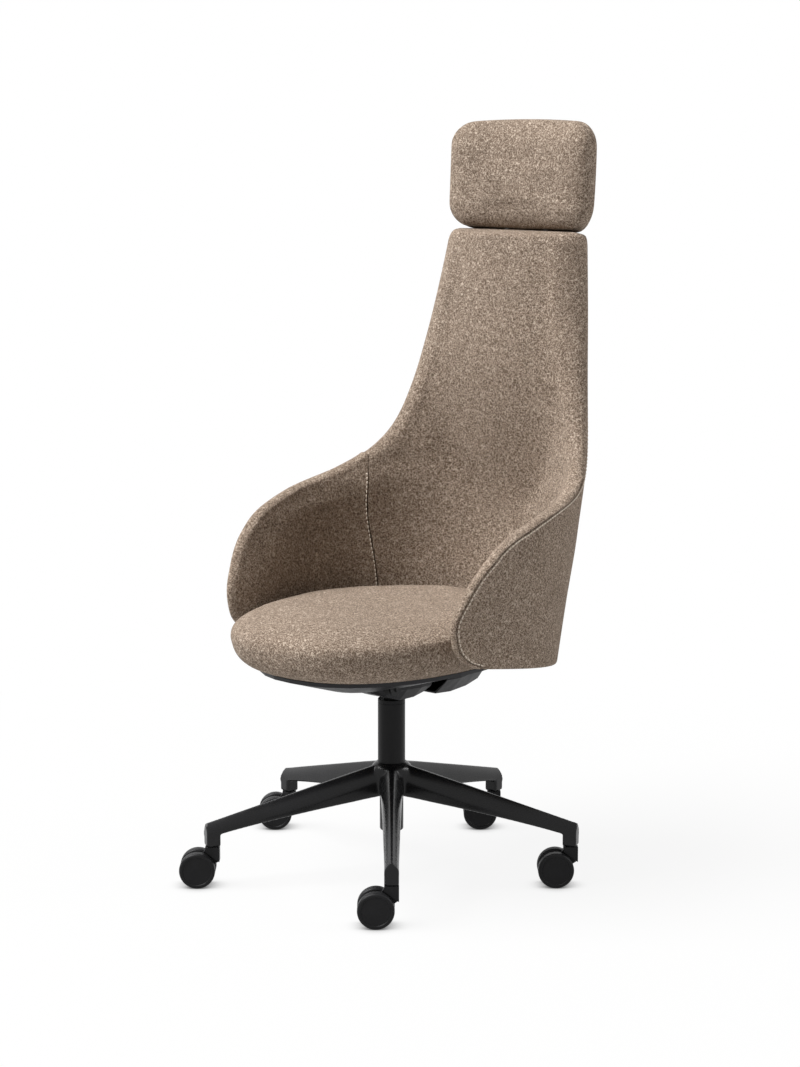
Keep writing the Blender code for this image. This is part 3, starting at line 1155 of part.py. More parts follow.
def build_headrest(tub_body, headrest_body, rotation):
    offset = post_offset()
    half = HEADREST_THICK / 2
    r = HEADREST_ROUND
    shares = ((3.0, -half - HEADREST_CROWN), (1.7, -half - 0.5 * HEADREST_CROWN), (0.85, -half + 0.01 * r),
              (0.40, -half + 0.20 * r), (0.10, -half + 0.56 * r), (0.0, -half + r), (0.0, half - r),
              (0.10, half - 0.56 * r), (0.40, half - 0.20 * r), (0.85, half - 0.01 * r), (3.0, half))
    rings = [headrest_ring(min(share * r, 0.9 * HEADREST_HEIGHT / 2), y) for share, y in shares]
    pad = piece("headrest_pad", loft("headrest_pad", rings), (FABRIC, 0.95, 0.0), headrest_body)

    middle = HEADREST_SLIT + HEADREST_HEIGHT / 2
    core_low = middle - CORE_HEIGHT / 2
    core_high = middle + CORE_HEIGHT / 2
    x = CORE_WIDTH / 2
    y = CORE_THICK / 2
    core = prism("headrest_core", rounded_outline(x, CORE_HEIGHT / 2, 0.02, 3), -y, y)
    core_y = offset - POST_RADIUS - GAP - y
    core = moved(core, Matrix.Translation((0, core_y, middle)) @ Matrix.Rotation(pi / 2, 4, "X"))
    piece("headrest_core", core, (PLYWOOD, 0.6, 0.0), headrest_body)
    bar_z = core_low + POST_GRIP
    yoke_back = offset + POST_RADIUS + GAP
    pocket = box("pocket", (-x - GAP, core_y - y - GAP, core_low - GAP),
                 (x + GAP, yoke_back, core_high + GAP))
    boolean(pad, pocket, "DIFFERENCE")
    guide_top = -LIP * 0.25
    guide_low = guide_top - GUIDE_LENGTH
    post_x = POST_SPREAD / 2
    bend = 4 * POST_RADIUS
    arc = [(bend * (1 - cos(a)), bend * sin(a)) for a in np.linspace(0, pi / 2, 6)]
    left = [(-post_x, guide_low + 0.010)] + [(-post_x + u, bar_z - bend + v) for u, v in arc]
    path = [(u, offset, v) for u, v in left] + [(-u, offset, v) for u, v in reversed(left)]
    piece("headrest_yoke", tube_mesh("headrest_yoke", path, POST_RADIUS), (STEEL, 0.25, 1.0), headrest_body)
    origin = empty("guide_frame", headrest_body.location, tub_body)
    origin.rotation_euler = rotation
    g = GUIDE_SIZE / 2
    for name, sign in (("headrest_guide_left", 1), ("headrest_guide_right", -1)):
        place = Matrix.Translation((sign * post_x, offset, 0))
        channel = solid_round("channel", POST_RADIUS + RUN_GAP, -0.02, core_low + 0.01)
        boolean(pad, moved(channel, place), "DIFFERENCE")
        guide = moved(box(name, (-g, -g, guide_low), (g, g, guide_top)), place)
        item = piece(name, guide, (BLACK_PLASTIC, 0.5, 0.0), origin)
        bore = solid_round("bore", POST_RADIUS + GAP, guide_low - 0.01, guide_top + 0.01)
        boolean(item, moved(bore, place), "DIFFERENCE")
    return offset, guide_low


def cut_guide_channels(pad, headrest_body, rotation, offset, guide_low):
    # Two slots in the back padding, open to the shell, that hold the headrest guides.
    g = GUIDE_SIZE / 2 + GAP
    slots = []
    for sign in (-1, 1):
        slot = box("slot", (-g, -g, guide_low - GAP), (g, 3 * g, 0.03))
        slots.append(moved(slot, Matrix.Translation((sign * POST_SPREAD / 2, offset, 0))))
    place = Matrix.Translation(headrest_body.location) @ Matrix.Rotation(rotation[0], 4, "X")
    boolean(pad, moved(joined("guide_slots", slots), place), "DIFFERENCE")


def build_tub(body):
    fabric = (FABRIC, 0.95, 0.0)
    build_shell(body, fabric)
    build_arm_pad("left_arm_pad", 1, body, fabric)
    build_arm_pad("right_arm_pad", -1, body, fabric)
    return build_back_pad(body, fabric)


def main():
    clear_scene()
    root = empty("chair_root", (COLUMN_X, COLUMN_Y, 0))
    swivel = empty("swivel_axis", (0, 0, 0), root)
    lift = empty("lift_axis", (0, 0, 0), swivel)
    tilt_axis = empty("tilt_axis", (0, PIVOT_Y, PIVOT_Z), lift)
    tilt = empty("seat_frame", (0, -PIVOT_Y, -PIVOT_Z), tilt_axis)
    build_base(root)
    build_castors(root)
    build_column(root, swivel, lift)
    build_housing(lift)
    build_lever(lift)
    build_carrier(tilt)
    build_seat(tilt)
    build_brackets(tilt)
    back_pad = build_tub(tilt)
    top, lean = slide_frame()
    rotation = (-lean, 0, 0)
    headrest = empty("headrest_slide", top, tilt)
    headrest.rotation_euler = rotation
    offset, guide_low = build_headrest(tilt, headrest, rotation)
    cut_guide_channels(back_pad, headrest, rotation, offset, guide_low)
    bpy.context.view_layer.update()


main()
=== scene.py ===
# Executive office chair: fabric, stitching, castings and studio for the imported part.
# Metres, +Z up, the sitter faces -Y and the sitter's left is +X.
import bpy
import bmesh
import numpy as np
from math import cos, pi, radians, sin
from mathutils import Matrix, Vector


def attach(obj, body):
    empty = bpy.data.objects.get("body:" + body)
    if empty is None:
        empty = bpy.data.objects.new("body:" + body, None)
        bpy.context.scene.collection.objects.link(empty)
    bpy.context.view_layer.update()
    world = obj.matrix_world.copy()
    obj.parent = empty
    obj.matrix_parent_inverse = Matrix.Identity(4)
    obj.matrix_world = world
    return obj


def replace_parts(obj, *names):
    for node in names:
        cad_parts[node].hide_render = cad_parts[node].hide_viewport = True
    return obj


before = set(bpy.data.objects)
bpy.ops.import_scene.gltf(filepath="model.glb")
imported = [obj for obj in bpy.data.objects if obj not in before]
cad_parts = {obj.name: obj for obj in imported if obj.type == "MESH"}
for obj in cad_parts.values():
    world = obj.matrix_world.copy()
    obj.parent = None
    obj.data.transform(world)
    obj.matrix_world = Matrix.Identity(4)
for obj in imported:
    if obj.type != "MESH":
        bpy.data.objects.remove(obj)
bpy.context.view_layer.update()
scene = bpy.context.scene
print("frame loaded:", len(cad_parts), "nodes")

column = {"x": 0.028, "y": -0.044}   # where the gas column stands
sharpFrom = 35   # degrees; corners of turned pieces past it stay crisp


# mesh helpers

def gridFaces(rows, columns, loopRows=False, loopColumns=False):
    # quads of a grid of points, wrapped round in either direction where asked
    r = np.arange(rows if loopRows else rows - 1)[:, None]
    c = np.arange(columns if loopColumns else columns - 1)[None, :]
    r2 = (r + 1) % rows
    c2 = (c + 1) % columns
    return np.stack([r * columns + c, r * columns + c2, r2 * columns + c2, r2 * columns + c], -1).reshape(-1, 4)


def capFaces(start, columns):
    # strip of quads that closes one ring of an even number of points, from its first point to the middle
    i = np.arange(columns // 2 - 1)
    return np.stack([start + i, start + i + 1, start + columns - 2 - i, start + columns - 1 - i], -1)


def closedRingFaces(rows, columns, start=0):
    # tube of rings, one after the other, closed at both ends
    faces = [gridFaces(rows, columns, loopColumns=True), capFaces(0, columns)]
    return np.concatenate(faces + [capFaces((rows - 1) * columns, columns)]) + start


def addItem(name, data):
    item = bpy.data.objects.new(name, data)
    scene.collection.objects.link(item)
    return item


def putMesh(name, points, faces, material, sharp=None, held=None):
    # a mesh object at the origin with its doubles merged and its faces turned outwards
    mesh = bpy.data.meshes.new(name)
    mesh.from_pydata(np.asarray(points, float).reshape(-1, 3).tolist(), [], np.asarray(faces).tolist())
    if held is not None:
        mesh.attributes.new("held", "FLOAT", "POINT").data.foreach_set("value", held.astype(np.float32).ravel())
    work = bmesh.new()
    work.from_mesh(mesh)
    bmesh.ops.remove_doubles(work, verts=work.verts, dist=1e-6)
    bmesh.ops.recalc_face_normals(work, faces=work.faces)
    work.to_mesh(mesh)
    work.free()
    mesh.shade_smooth()
    if sharp is not None:
        mesh.set_sharp_from_angle(angle=radians(sharp))
    mesh.materials.append(material)
    return addItem(name, mesh)


def ringsPiece(name, rings, material, held=None):
    # rings of an even number of points
    return putMesh(name, rings, closedRingFaces(*rings.shape[:2]), material, held=held)


def turnedRings(profile, sides):
    # a profile of radius and height carried round the z axis: x = r cos a, y = r sin a
    r, z = np.asarray(profile, float).T
    a = np.linspace(0, 2 * pi, sides, endpoint=False)
    z = np.broadcast_to(z[:, None], (len(r), sides))
    return np.stack([r[:, None] * np.cos(a), r[:, None] * np.sin(a), z], -1)


def turnedPiece(name, profile, sides, material, place):
    # a profile that is a closed loop, carried round, then turned and moved to its place
    turn, shift = place
    rings = turnedRings(profile, sides) @ np.array(turn).T + np.array(shift)
    faces = gridFaces(len(rings), sides, loopRows=True, loopColumns=True)
    return putMesh(name, rings, faces, material, sharpFrom)


def readValues(items, key, size, kind=np.float32):
    values = np.empty(len(items) * size, kind)
    items.foreach_get(key, values)
    return values.reshape(-1, size)


def readPoints(mesh):
    return readValues(mesh.vertices, "co", 3).astype(float)


def writePoints(mesh, points):
    mesh.vertices.foreach_set("co", np.ascontiguousarray(points, np.float32).ravel())
    mesh.update()


def setAll(target, settings):
    for key, value in settings.items():
        setattr(target, key, value)


def addModifier(item, name, kind, **settings):
    made = item.modifiers.new(name, kind)
    setAll(made, settings)
    return made


def weightGroup(item, name, weights, count):
    # vertex group with the weights rounded to this many steps
    group = item.vertex_groups.new(name=name)
    for share in np.linspace(1 / count, 1.0, count):
        picked = np.nonzero(np.abs(weights - share) <= 0.5 / count)[0]
        group.add(picked.tolist(), float(share), "REPLACE")


def bakedMesh(item):
    # the mesh as its modifiers leave it
    graph = bpy.context.evaluated_depsgraph_get()
    made = bpy.data.meshes.new_from_object(item.evaluated_get(graph))
    item.modifiers.clear()
    item.data = made
    made.shade_smooth()
    return item


def smoothThrough(stations, values):
    # monotone cubic through the stations: harmonic mean of the two slopes at each one, straight on past the last
    x = np.array(stations, float)
    y = np.array(values, float)
    step = np.diff(x)
    rise = np.diff(y) / step
    slope = np.concatenate([rise[:1], np.zeros(len(x) - 2), rise[-1:]])
    same = rise[:-1] * rise[1:] > 0
    w1 = 2 * step[1:] + step[:-1]
    w2 = step[1:] + 2 * step[:-1]
    before = np.where(same, rise[:-1], 1.0)
    after = np.where(same, rise[1:], 1.0)
    slope[1:-1] = np.where(same, (w1 + w2) / (w1 / before + w2 / after), 0.0)

    def curve(at):
        at = np.clip(np.asarray(at, float), x[0], None)
        i = np.clip(np.searchsorted(x, at, side="right") - 1, 0, len(x) - 2)
        t = (at - x[i]) / step[i]
        s = np.minimum(t, 1.0)
        value = ((1 + 2 * s) * (1 - s) ** 2 * y[i] + s * (1 - s) ** 2 * step[i] * slope[i]
                 + s ** 2 * (3 - 2 * s) * y[i + 1] + s ** 2 * (s - 1) * step[i] * slope[i + 1])
        return value + np.maximum(t - 1.0, 0.0) * step[i] * slope[i + 1]

    return curve


def beside(*parts):
    # columns of these grids in one grid
    return np.concatenate(parts, 1)


def easeStep(value, low, high):
    # smooth step from 0 at low to 1 at high
    t = np.clip((value - low) / (high - low), 0, 1)
    return t * t * (3 - 2 * t)


def unit(vectors):
    return vectors / np.linalg.norm(vectors, axis=-1, keepdims=True)


def runAlong(path):
    # length run at each point of a path
    return np.concatenate([[0.0], np.cumsum(np.linalg.norm(np.diff(path, axis=0), axis=1))])


# materials

def newMaterial(name):
    material = bpy.data.materials.new(name)
    material.use_nodes = True
    return material, material.node_tree, material.node_tree.nodes["Principled BSDF"]


def feed(tree, node, values):
    # by the input's name or number: a socket is linked, a number or a colour is set
    for key, value in values.items():
        if isinstance(value, bpy.types.NodeSocket):
            tree.links.new(value, node.inputs[key])
        else:
            node.inputs[key].default_value = value


def addNode(tree, kind, inputs, **settings):
    made = tree.nodes.new("ShaderNode" + kind)
    setAll(made, settings)
    feed(tree, made, inputs)
    return made


def objectPlace(tree, turn=(0, 0, 0), shift=(0, 0, 0), stretch=(1, 1, 1)):
    place = addNode(tree, "TexCoord", {}).outputs["Object"]
    values = {"Vector": place, "Rotation": turn, "Location": shift, "Scale": stretch}
    return addNode(tree, "Mapping", values).outputs["Vector"]


def noiseOn(tree, place, scale, detail, distortion=0.0):
    values = {"Vector": place, "Scale": scale, "Detail": detail, "Distortion": distortion}
    return addNode(tree, "TexNoise", values).outputs["Fac"]


def doMath(tree, operation, *values):
    return addNode(tree, "Math", dict(enumerate(values)), operation=operation).outputs[0]


def remap(tree, value, low, high, toLow, toHigh):
    values = {"Value": value, "From Min": low, "From Max": high, "To Min": toLow, "To Max": toHigh}
    return addNode(tree, "MapRange", values, interpolation_type="SMOOTHSTEP").outputs["Result"]


def weighed(tree, first, second, share):
    # mean of two values with this share of the second
    return doMath(tree, "ADD", doMath(tree, "MULTIPLY", first, 1 - share), doMath(tree, "MULTIPLY", second, share))


def mixColour(tree, share, first, second, blend="MIX"):
    first, second = (c + (1.0,) if isinstance(c, tuple) else c for c in (first, second))
    return addNode(tree, "Mix", {0: share, 6: first, 7: second}, data_type="RGBA", blend_type=blend).outputs[2]


def bumped(tree, height, distance, strength):
    values = {"Height": height, "Distance": distance, "Strength": strength}
    return addNode(tree, "Bump", values).outputs["Normal"]


felt = {"dark": (0.082, 0.056, 0.039), "ground": (0.235, 0.176, 0.132), "pale": (0.66, 0.548, 0.448),
        "warm": (0.42, 0.329, 0.258), "yarnScale": 225.0, "curlScale": 295.0, "lintScale": 640.0, "cloudScale": 14.0,
        "yarnWidth": 0.085, "curlWidth": 0.072, "yarnShare": 0.72, "pitFrom": 0.12, "pitTo": 0.26, "pitLeft": 0.35,
        "shadeLow": (0.94, 0.938, 0.935), "shadeHigh": (1.05, 1.05, 1.048), "bump": 0.0012, "bumpStrength": 0.7,
        "curlRise": 0.8, "lintRise": 0.6,
        "sockets": {"Sheen Weight": 0.08, "Sheen Roughness": 0.55, "Sheen Tint": (0.95, 0.84, 0.72, 1.0),
                    "Specular IOR Level": 0.12}}


def noiseLine(tree, place, scale, distortion):
    # distance of a noise field from its middle value
    return doMath(tree, "ABSOLUTE", doMath(tree, "SUBTRACT", noiseOn(tree, place, scale, 0.0, distortion), 0.5))


def feltMaterial():
    # heathered boucle: curled pale yarns are the lines where a noise field crosses its middle value, with small dark
    # pits between them
    material, tree, shader = newMaterial("heathered felt")
    plain = objectPlace(tree)
    turned = objectPlace(tree, turn=(0.7, 1.1, 0.4), shift=(0.31, 0.17, 0.53))
    yarn = noiseLine(tree, plain, felt["yarnScale"], 0.5)
    curl = noiseLine(tree, turned, felt["curlScale"], 0.6)
    lint = noiseOn(tree, plain, felt["lintScale"], 1.0, 0.4)
    cloud = noiseOn(tree, turned, felt["cloudScale"], 2.0)
    yarnLine = remap(tree, yarn, 0.0, felt["yarnWidth"], 1.0, 0.0)
    curlLine = remap(tree, curl, 0.0, felt["curlWidth"], 1.0, 0.0)
    pit = remap(tree, yarn, felt["pitFrom"], felt["pitTo"], 1.0, felt["pitLeft"])
    lit = doMath(tree, "MULTIPLY", remap(tree, lint, 0.28, 0.62, 0.2, 1.0), pit)
    ground = mixColour(tree, lit, felt["dark"], felt["ground"])
    withCurl = mixColour(tree, doMath(tree, "MULTIPLY", curlLine, felt["yarnShare"]), ground, felt["warm"])
    withYarn = mixColour(tree, doMath(tree, "MULTIPLY", yarnLine, felt["yarnShare"]), withCurl, felt["pale"])
    shade = mixColour(tree, remap(tree, cloud, 0.25, 0.75, 0.0, 1.0), felt["shadeLow"], felt["shadeHigh"])
    height = doMath(tree, "ADD", yarnLine, doMath(tree, "MULTIPLY", curlLine, felt["curlRise"]))
    height = doMath(tree, "ADD", height, doMath(tree, "MULTIPLY", lint, felt["lintRise"]))
    feed(tree, shader, {"Base Color": mixColour(tree, 1.0, withYarn, shade, "MULTIPLY"),
                        "Roughness": remap(tree, lint, 0.2, 0.8, 0.86, 0.98),
                        "Normal": bumped(tree, height, felt["bump"], felt["bumpStrength"]), **felt["sockets"]})
    return material


def threadMaterial():
    # twisted sewing thread: fine slanted bands over a beige ground
    material, tree, shader = newMaterial("beige thread")
    place = objectPlace(tree, turn=(0.4, 0.6, 0.2))
    wave = addNode(tree, "TexWave", {"Vector": place, "Scale": 900.0, "Distortion": 2.0, "Detail": 1.0})
    twist = wave.outputs["Fac"]
    feed(tree, shader, {"Base Color": mixColour(tree, twist, (0.60, 0.51, 0.42), (0.80, 0.71, 0.60)),
                        "Roughness": 0.75, "Sheen Weight": 0.2, "Normal": bumped(tree, twist, 0.0002, 0.5)})
    return material


finishes = {   # name, two colours, range of roughness, scales of drift and grain, depth of grain, specular level
    "powderCoat": ("satin black powder coat", (0.006, 0.006, 0.0065), (0.010, 0.010, 0.011), (0.20, 0.30),
                   22.0, 1500.0, 0.00005, 0.24),
    "tubeCoat": ("satin black tube", (0.006, 0.006, 0.0065), (0.009, 0.009, 0.0095), (0.38, 0.48),
                 30.0, 1800.0, 0.00006, 0.16),
    "mouldedBlack": ("grained black moulding", (0.007, 0.007, 0.0075), (0.011, 0.011, 0.012), (0.36, 0.50),
                     40.0, 2200.0, 0.00010, 0.15),
    "panBlack": ("grained pan moulding", (0.010, 0.010, 0.011), (0.015, 0.015, 0.017), (0.40, 0.54),
                 30.0, 2000.0, 0.00012, 0.22),
    "zincSteel": ("zinc plated steel", (0.40, 0.40, 0.41), (0.54, 0.54, 0.56), (0.22, 0.38),
                  90.0, 700.0, 0.00005, 0.5, 1.0, (1, 1, 0.15)),
    "castBlack": ("black die casting", (0.009, 0.009, 0.010), (0.015, 0.015, 0.017), (0.44, 0.58),
                  50.0, 900.0, 0.00020, 0.22),
    "rubberBlock": ("moulded rubber", (0.008, 0.008, 0.008), (0.015, 0.015, 0.015), (0.74, 0.90),
                    80.0, 1600.0, 0.00015, 0.2),
}


def finishMaterial(name, low, high, rough, drift, grain, depth, specular, metallic=0.0, stretch=(1, 1, 1)):
    # hard finish: colour and gloss drift with a broad noise, a fine noise gives the grain
    material, tree, shader = newMaterial(name)
    broad = noiseOn(tree, objectPlace(tree), drift, 3.0, 0.3)
    fine = noiseOn(tree, objectPlace(tree, stretch=stretch), grain, 2.0)
    share = remap(tree, weighed(tree, broad, fine, 0.3), 0.3, 0.7, 0.0, 1.0)
    gloss = remap(tree, weighed(tree, broad, fine, 0.5), 0.3, 0.7, *rough)
    feed(tree, shader, {"Base Color": mixColour(tree, share, low, high), "Roughness": gloss, "Metallic": metallic,
                        "Specular IOR Level": specular, "Normal": bumped(tree, fine, depth, 0.35)})
    return material


def plyMaterial():
    # birch plywood: long grain from a stretched noise, thin glue lines between the layers
    material, tree, shader = newMaterial("birch plywood")
    grain = noiseOn(tree, objectPlace(tree, stretch=(1.0, 9.0, 40.0)), 14.0, 4.0, 0.6)
    layers = addNode(tree, "TexWave", {"Vector": objectPlace(tree), "Scale": 95.0, "Distortion": 0.2},
                     bands_direction="Z", wave_profile="SAW")
    glue = remap(tree, layers.outputs["Fac"], 0.9, 1.0, 0.0, 0.5)
    wood = mixColour(tree, remap(tree, grain, 0.3, 0.7, 0.0, 1.0), (0.36, 0.235, 0.125), (0.56, 0.41, 0.25))
    feed(tree, shader, {"Base Color": mixColour(tree, glue, wood, (0.14, 0.08, 0.045)),
                        "Roughness": remap(tree, grain, 0.2, 0.8, 0.5, 0.68),
                        "Normal": bumped(tree, grain, 0.0003, 0.3)})
    return material


fabric = feltMaterial()
thread = threadMaterial()
finish = {key: finishMaterial(*look) for key, look in finishes.items()}
finish["plywood"] = plyMaterial()
print("materials made")


# tub: a fabric shell that wraps from arm to arm, drawn as plan sections at heights over its rear lower edge

tub = {
    "low": 0.3701, "height": 0.791,
    "sectionHeight": (0.0, 0.13, 0.25, 0.38, 0.58, 0.78),
    "halfWidth": (0.2695, 0.274, 0.2835, 0.2725, 0.2605, 0.258),
    "depth": (0.2615, 0.3055, 0.323, 0.290, 0.2555, 0.2275),
    "rear": (0.2825, 0.326, 0.353, 0.374, 0.3865, 0.3975),
    "thick": (0.040, 0.041, 0.042, 0.048, 0.054, 0.058),
    "edgeHeight": (0.0, 0.015, 0.04, 0.083, 0.167, 0.24, 0.275, 0.305, 0.335, 0.37,
                   0.42, 0.49, 0.58, 0.68, 0.76, 0.772, 0.781, 0.786, 0.789, 0.791),
    "edgeWrap": (113.4, 118.6, 121.1, 121.8, 117.0, 110.2, 104.2, 92.4, 73.2, 60.2,
                 52.3, 47.5, 43.4, 39.4, 36.5, 36.1, 35.3, 34.4, 33.4, 31.4),
    "thinHeight": (0.0, 0.13, 0.23, 0.36, 0.48, 0.60, 0.791),
    "thinShare": (-0.25, -0.25, -0.05, 0.15, 0.42, 0.75, 0.9),
    "thinReach": (0.085, 0.085, 0.085, 0.085, 0.075, 0.065, 0.060),
    "fillHeight": (0.0, 0.20, 0.25, 0.30, 0.36, 0.45, 0.58, 0.70, 0.791),
    "fillDepth": (0.0, 0.0, 0.003, 0.013, 0.030, 0.051, 0.067, 0.062, 0.050), "fillBlend": 0.25,
    "fillReach": 0.085, "fillFall": 0.6,
    "seamWrapLow": 50.0, "seamWrapHigh": 62.0, "seamGap": 0.00025, "padFoot": 0.065,
    "rake": 0.1667, "rakeFade": 0.25, "armToe": 0.87,
    "lipHeight": (0.0, 0.25, 0.40, 0.50, 0.791), "lip": (0.006, 0.006, 0.017, 0.022, 0.022), "topLip": 0.009,
    "lipSeam": 0.0007, "shellThick": 0.012, "padGap": 0.002, "crease": 0.0032, "creaseDepth": 0.05, "hem": 0.006,
    "hemDepth": 0.22, "leastSquare": 0.35, "crowding": 0.55,
}
halfWidthAt, depthAt, rearAt, thickAt = (smoothThrough(tub["sectionHeight"], tub[key])
                                         for key in ("halfWidth", "depth", "rear", "thick"))
edgeWrapAt = smoothThrough(tub["edgeHeight"], np.radians(tub["edgeWrap"]))
thinAt, thinReachAt = (smoothThrough(tub["thinHeight"], tub[key]) for key in ("thinShare", "thinReach"))
fillAt = smoothThrough(tub["fillHeight"], tub["fillDepth"])
lipAt = smoothThrough(tub["lipHeight"], tub["lip"])


def tubPoint(wrap, level, offset):
    # half ellipse in plan of half width a and depth b behind the widest line, nearly straight sides ahead of it
    # that toe in with the square of the run, raked up towards the front, moved outward by offset
    wrap, level, offset = np.broadcast_arrays(wrap, level, offset)
    turn = np.minimum(np.abs(wrap), pi / 2)
    ahead = np.abs(wrap) - turn
    forward = depthAt(level) * (1 - np.cos(turn) + ahead)
    height = level + tub["rake"] * np.clip(1 - level / tub["rakeFade"], 0, 1) * forward
    a = halfWidthAt(height)
    b = depthAt(height)
    run = b * ahead
    x = a * np.sin(turn) - tub["armToe"] * run ** 2
    y = rearAt(height) - b * (1 - np.cos(turn)) - run
    nx = np.where(ahead > 0, 1.0, b * np.sin(turn))
    ny = np.where(ahead > 0, -2 * tub["armToe"] * run, a * np.cos(turn))
    size = np.hypot(nx, ny)
    return np.stack([np.sign(wrap) * (x + offset * nx / size) + column["x"], y + offset * ny / size + column["y"],
                     tub["low"] + height], -1)


def halfThick(level):
    return 0.5 * thickAt(level)


def rowSpeed(wrap, level):
    # how far a point moves for each radian of plan angle
    small = 1e-4
    return (tubPoint(wrap + small, level, 0.0) - tubPoint(wrap - small, level, 0.0)) / (2 * small)


def squareSpeed(wrap, level):
    # the part of that motion which is square to the free edge
    small = 1e-3
    above = tubPoint(edgeWrapAt(level + small), level + small, 0.0)
    below = tubPoint(edgeWrapAt(level - small), level - small, 0.0)
    row = rowSpeed(wrap, level)
    square = np.linalg.norm(np.cross(row, unit(above - below)), axis=-1)
    return np.maximum(square, tub["leastSquare"] * np.linalg.norm(row, axis=-1))


# the level where the free edge comes back to the arm seam
levels = np.linspace(0.24, 0.37, 800)
seamTop = float(levels[np.argmax(np.degrees(edgeWrapAt(levels)) < tub["seamWrapHigh"])])


def seamWrapAt(level):
    share = np.clip((level - tub["padFoot"]) / (seamTop - tub["padFoot"]), 0, 1)
    return np.radians(tub["seamWrapLow"] + (tub["seamWrapHigh"] - tub["seamWrapLow"]) * share)


def shellEdgeAt(level):
    # plan angle of the shell's border, a lip short of the free edge
    edge = edgeWrapAt(level)
    return edge - (lipAt(level) + tub["lipSeam"]) / squareSpeed(edge, level)


def wallFaces(fromSide, level, h, rounded):
    # inner and outer offsets of the padded wall: the outer face runs straight to the rounded edge, the inner one
    # draws near it with the square of the distance left, so that the edge rolls over
    near = np.clip(1 - fromSide / thinReachAt(level), 0, 1)
    share = 1 - (1 - thinAt(level)) * near ** 2
    middle = 0.5 * h * (1 - share)
    half = 0.5 * h * (1 + share) * rounded
    return middle - half, middle + half


# the level from which the shell's border lies behind the arm seam
levels = np.linspace(0.083, seamTop, 800)
lipStart = float(levels[np.argmax(shellEdgeAt(levels) < seamWrapAt(levels))])


def edgeLevels(count, low, high):
    # levels at equal steps along the free edge, so that rows crowd together where the edge runs flat
    fine = np.linspace(low, high, 1500)
    path = tubPoint(edgeWrapAt(fine), fine, 0.0)
    run = runAlong(path)
    return np.interp(np.linspace(0, run[-1], count), run, fine)


def sunk(distance, reach):
    # quarter round: 1 at the border, 0 from reach on
    t = np.clip(distance / reach, 0, 1)
    return 1 - np.sqrt(1 - (1 - t) ** 2)


def creaseShare(distance):
    # thickness left beside a sewn crease
    return 1 - tub["creaseDepth"] * sunk(distance, tub["crease"])


def hemShare(distance):
    # thickness left at a turned-in lower hem
    return 1 - tub["hemDepth"] * sunk(distance, tub["hem"])


def spread(count):
    # shares from 0 to 1, closer together at both ends
    t = np.linspace(0, 1, count)
    return t - tub["crowding"] * np.sin(2 * pi * t) / (2 * pi)


def wallRings(wrap, level, inner, outer):
    # one ring a row: out along the inner face, back along the outer one
    return beside(tubPoint(wrap, level, inner), tubPoint(wrap, level, outer)[:, ::-1])


def backFilling(wrap, level, fromSide):
    # extra padding in front of the spine: as deep as the hollow there, less the sides' own curve, run out softly
    deepest = np.maximum(fillAt(level), 1e-9)
    left = 1 - depthAt(level) * (1 - np.cos(wrap)) / deepest
    near = np.clip(1 - fromSide / tub["fillReach"], 0, 1)
    return deepest * 0.5 * (left + np.sqrt(left ** 2 + tub["fillBlend"] ** 2)) * (1 - tub["fillFall"] * near ** 2)


lipSunk = 0.965   # share of the half thickness at the step beside the lip seam
armPad = {"rows": 104, "faceColumns": 32, "noseColumns": 11, "footRows": (0.0, 0.0015, 0.004), "stepBack": 0.88,
          "behind": 0.4, "behindTop": 0.92, "fadeBelow": 0.012, "fadeAbove": 0.004, "noseStep": 0.993,
          "looseSeam": (0.006, 0.045), "looseEdge": (0.004, 0.030), "looseFoot": (0.006, 0.05),
          "puff": 0.0015, "cap": 0.002, "fill": 0.85}


def heldRings(pad, level, foot, fromSeam, fromEdge):
    # shares held: the inner face is loose away from its seam, its free edge and its foot, the outer face is held
    low, high = pad["looseFoot"]
    loose = easeStep(fromSeam, *pad["looseSeam"]) * easeStep(fromEdge, *pad["looseEdge"])
    loose = loose * easeStep(level, foot + low, foot + high)
    return beside(1 - loose, np.ones_like(loose))


def armPadRings(side):
    # section: inner face from the back seam to the free edge, half round over the edge, short lip on the outside,
    # step down to the shell, back face
    level = np.concatenate([armPad["footRows"], edgeLevels(armPad["rows"], 0.008, seamTop - 0.0015)])[:, None]
    edge = edgeWrapAt(level)
    speed = squareSpeed(edge, level)
    row = np.linalg.norm(rowSpeed(seamWrapAt(level), level), axis=-1)
    seam = seamWrapAt(level) + tub["seamGap"] / row
    lip = np.minimum(lipAt(level), 0.5 * (edge - seam) * speed)
    h = halfThick(level) * hemShare(level)
    face = seam + (edge - lip / speed - seam) * spread(armPad["faceColumns"])[None, :]
    turn = np.linspace(pi / 2, 0, armPad["noseColumns"])[None, :]
    nose = edge - lip / speed * (1 - np.cos(turn))
    stepEnd = edge - armPad["stepBack"] * lip / speed
    wrap = beside(face, face[:, -1:], stepEnd, nose[:, 2:])
    ones = np.ones_like(level)
    rounded = beside(np.ones_like(face), ones, armPad["noseStep"] * ones, np.sin(turn)[:, 2:] * ones)
    inner, outer = wallFaces((edge - wrap) * speed, level, h, rounded)
    fromSeam = (wrap - seam) * row
    inner = inner * creaseShare(fromSeam)
    back = np.minimum(h - tub["shellThick"] - tub["padGap"], armPad["behind"] * h)
    lipShare = easeStep(level, lipStart - armPad["fadeBelow"], lipStart + armPad["fadeAbove"])
    back = back + (armPad["behindTop"] * h - back) * lipShare
    outer = beside(back * np.ones_like(face), lipSunk * h, outer[:, -armPad["noseColumns"] + 1:])
    rings = wallRings(side * wrap, level, inner, outer)
    return rings, heldRings(armPad, level, 0.0, fromSeam, (edge - wrap) * speed)


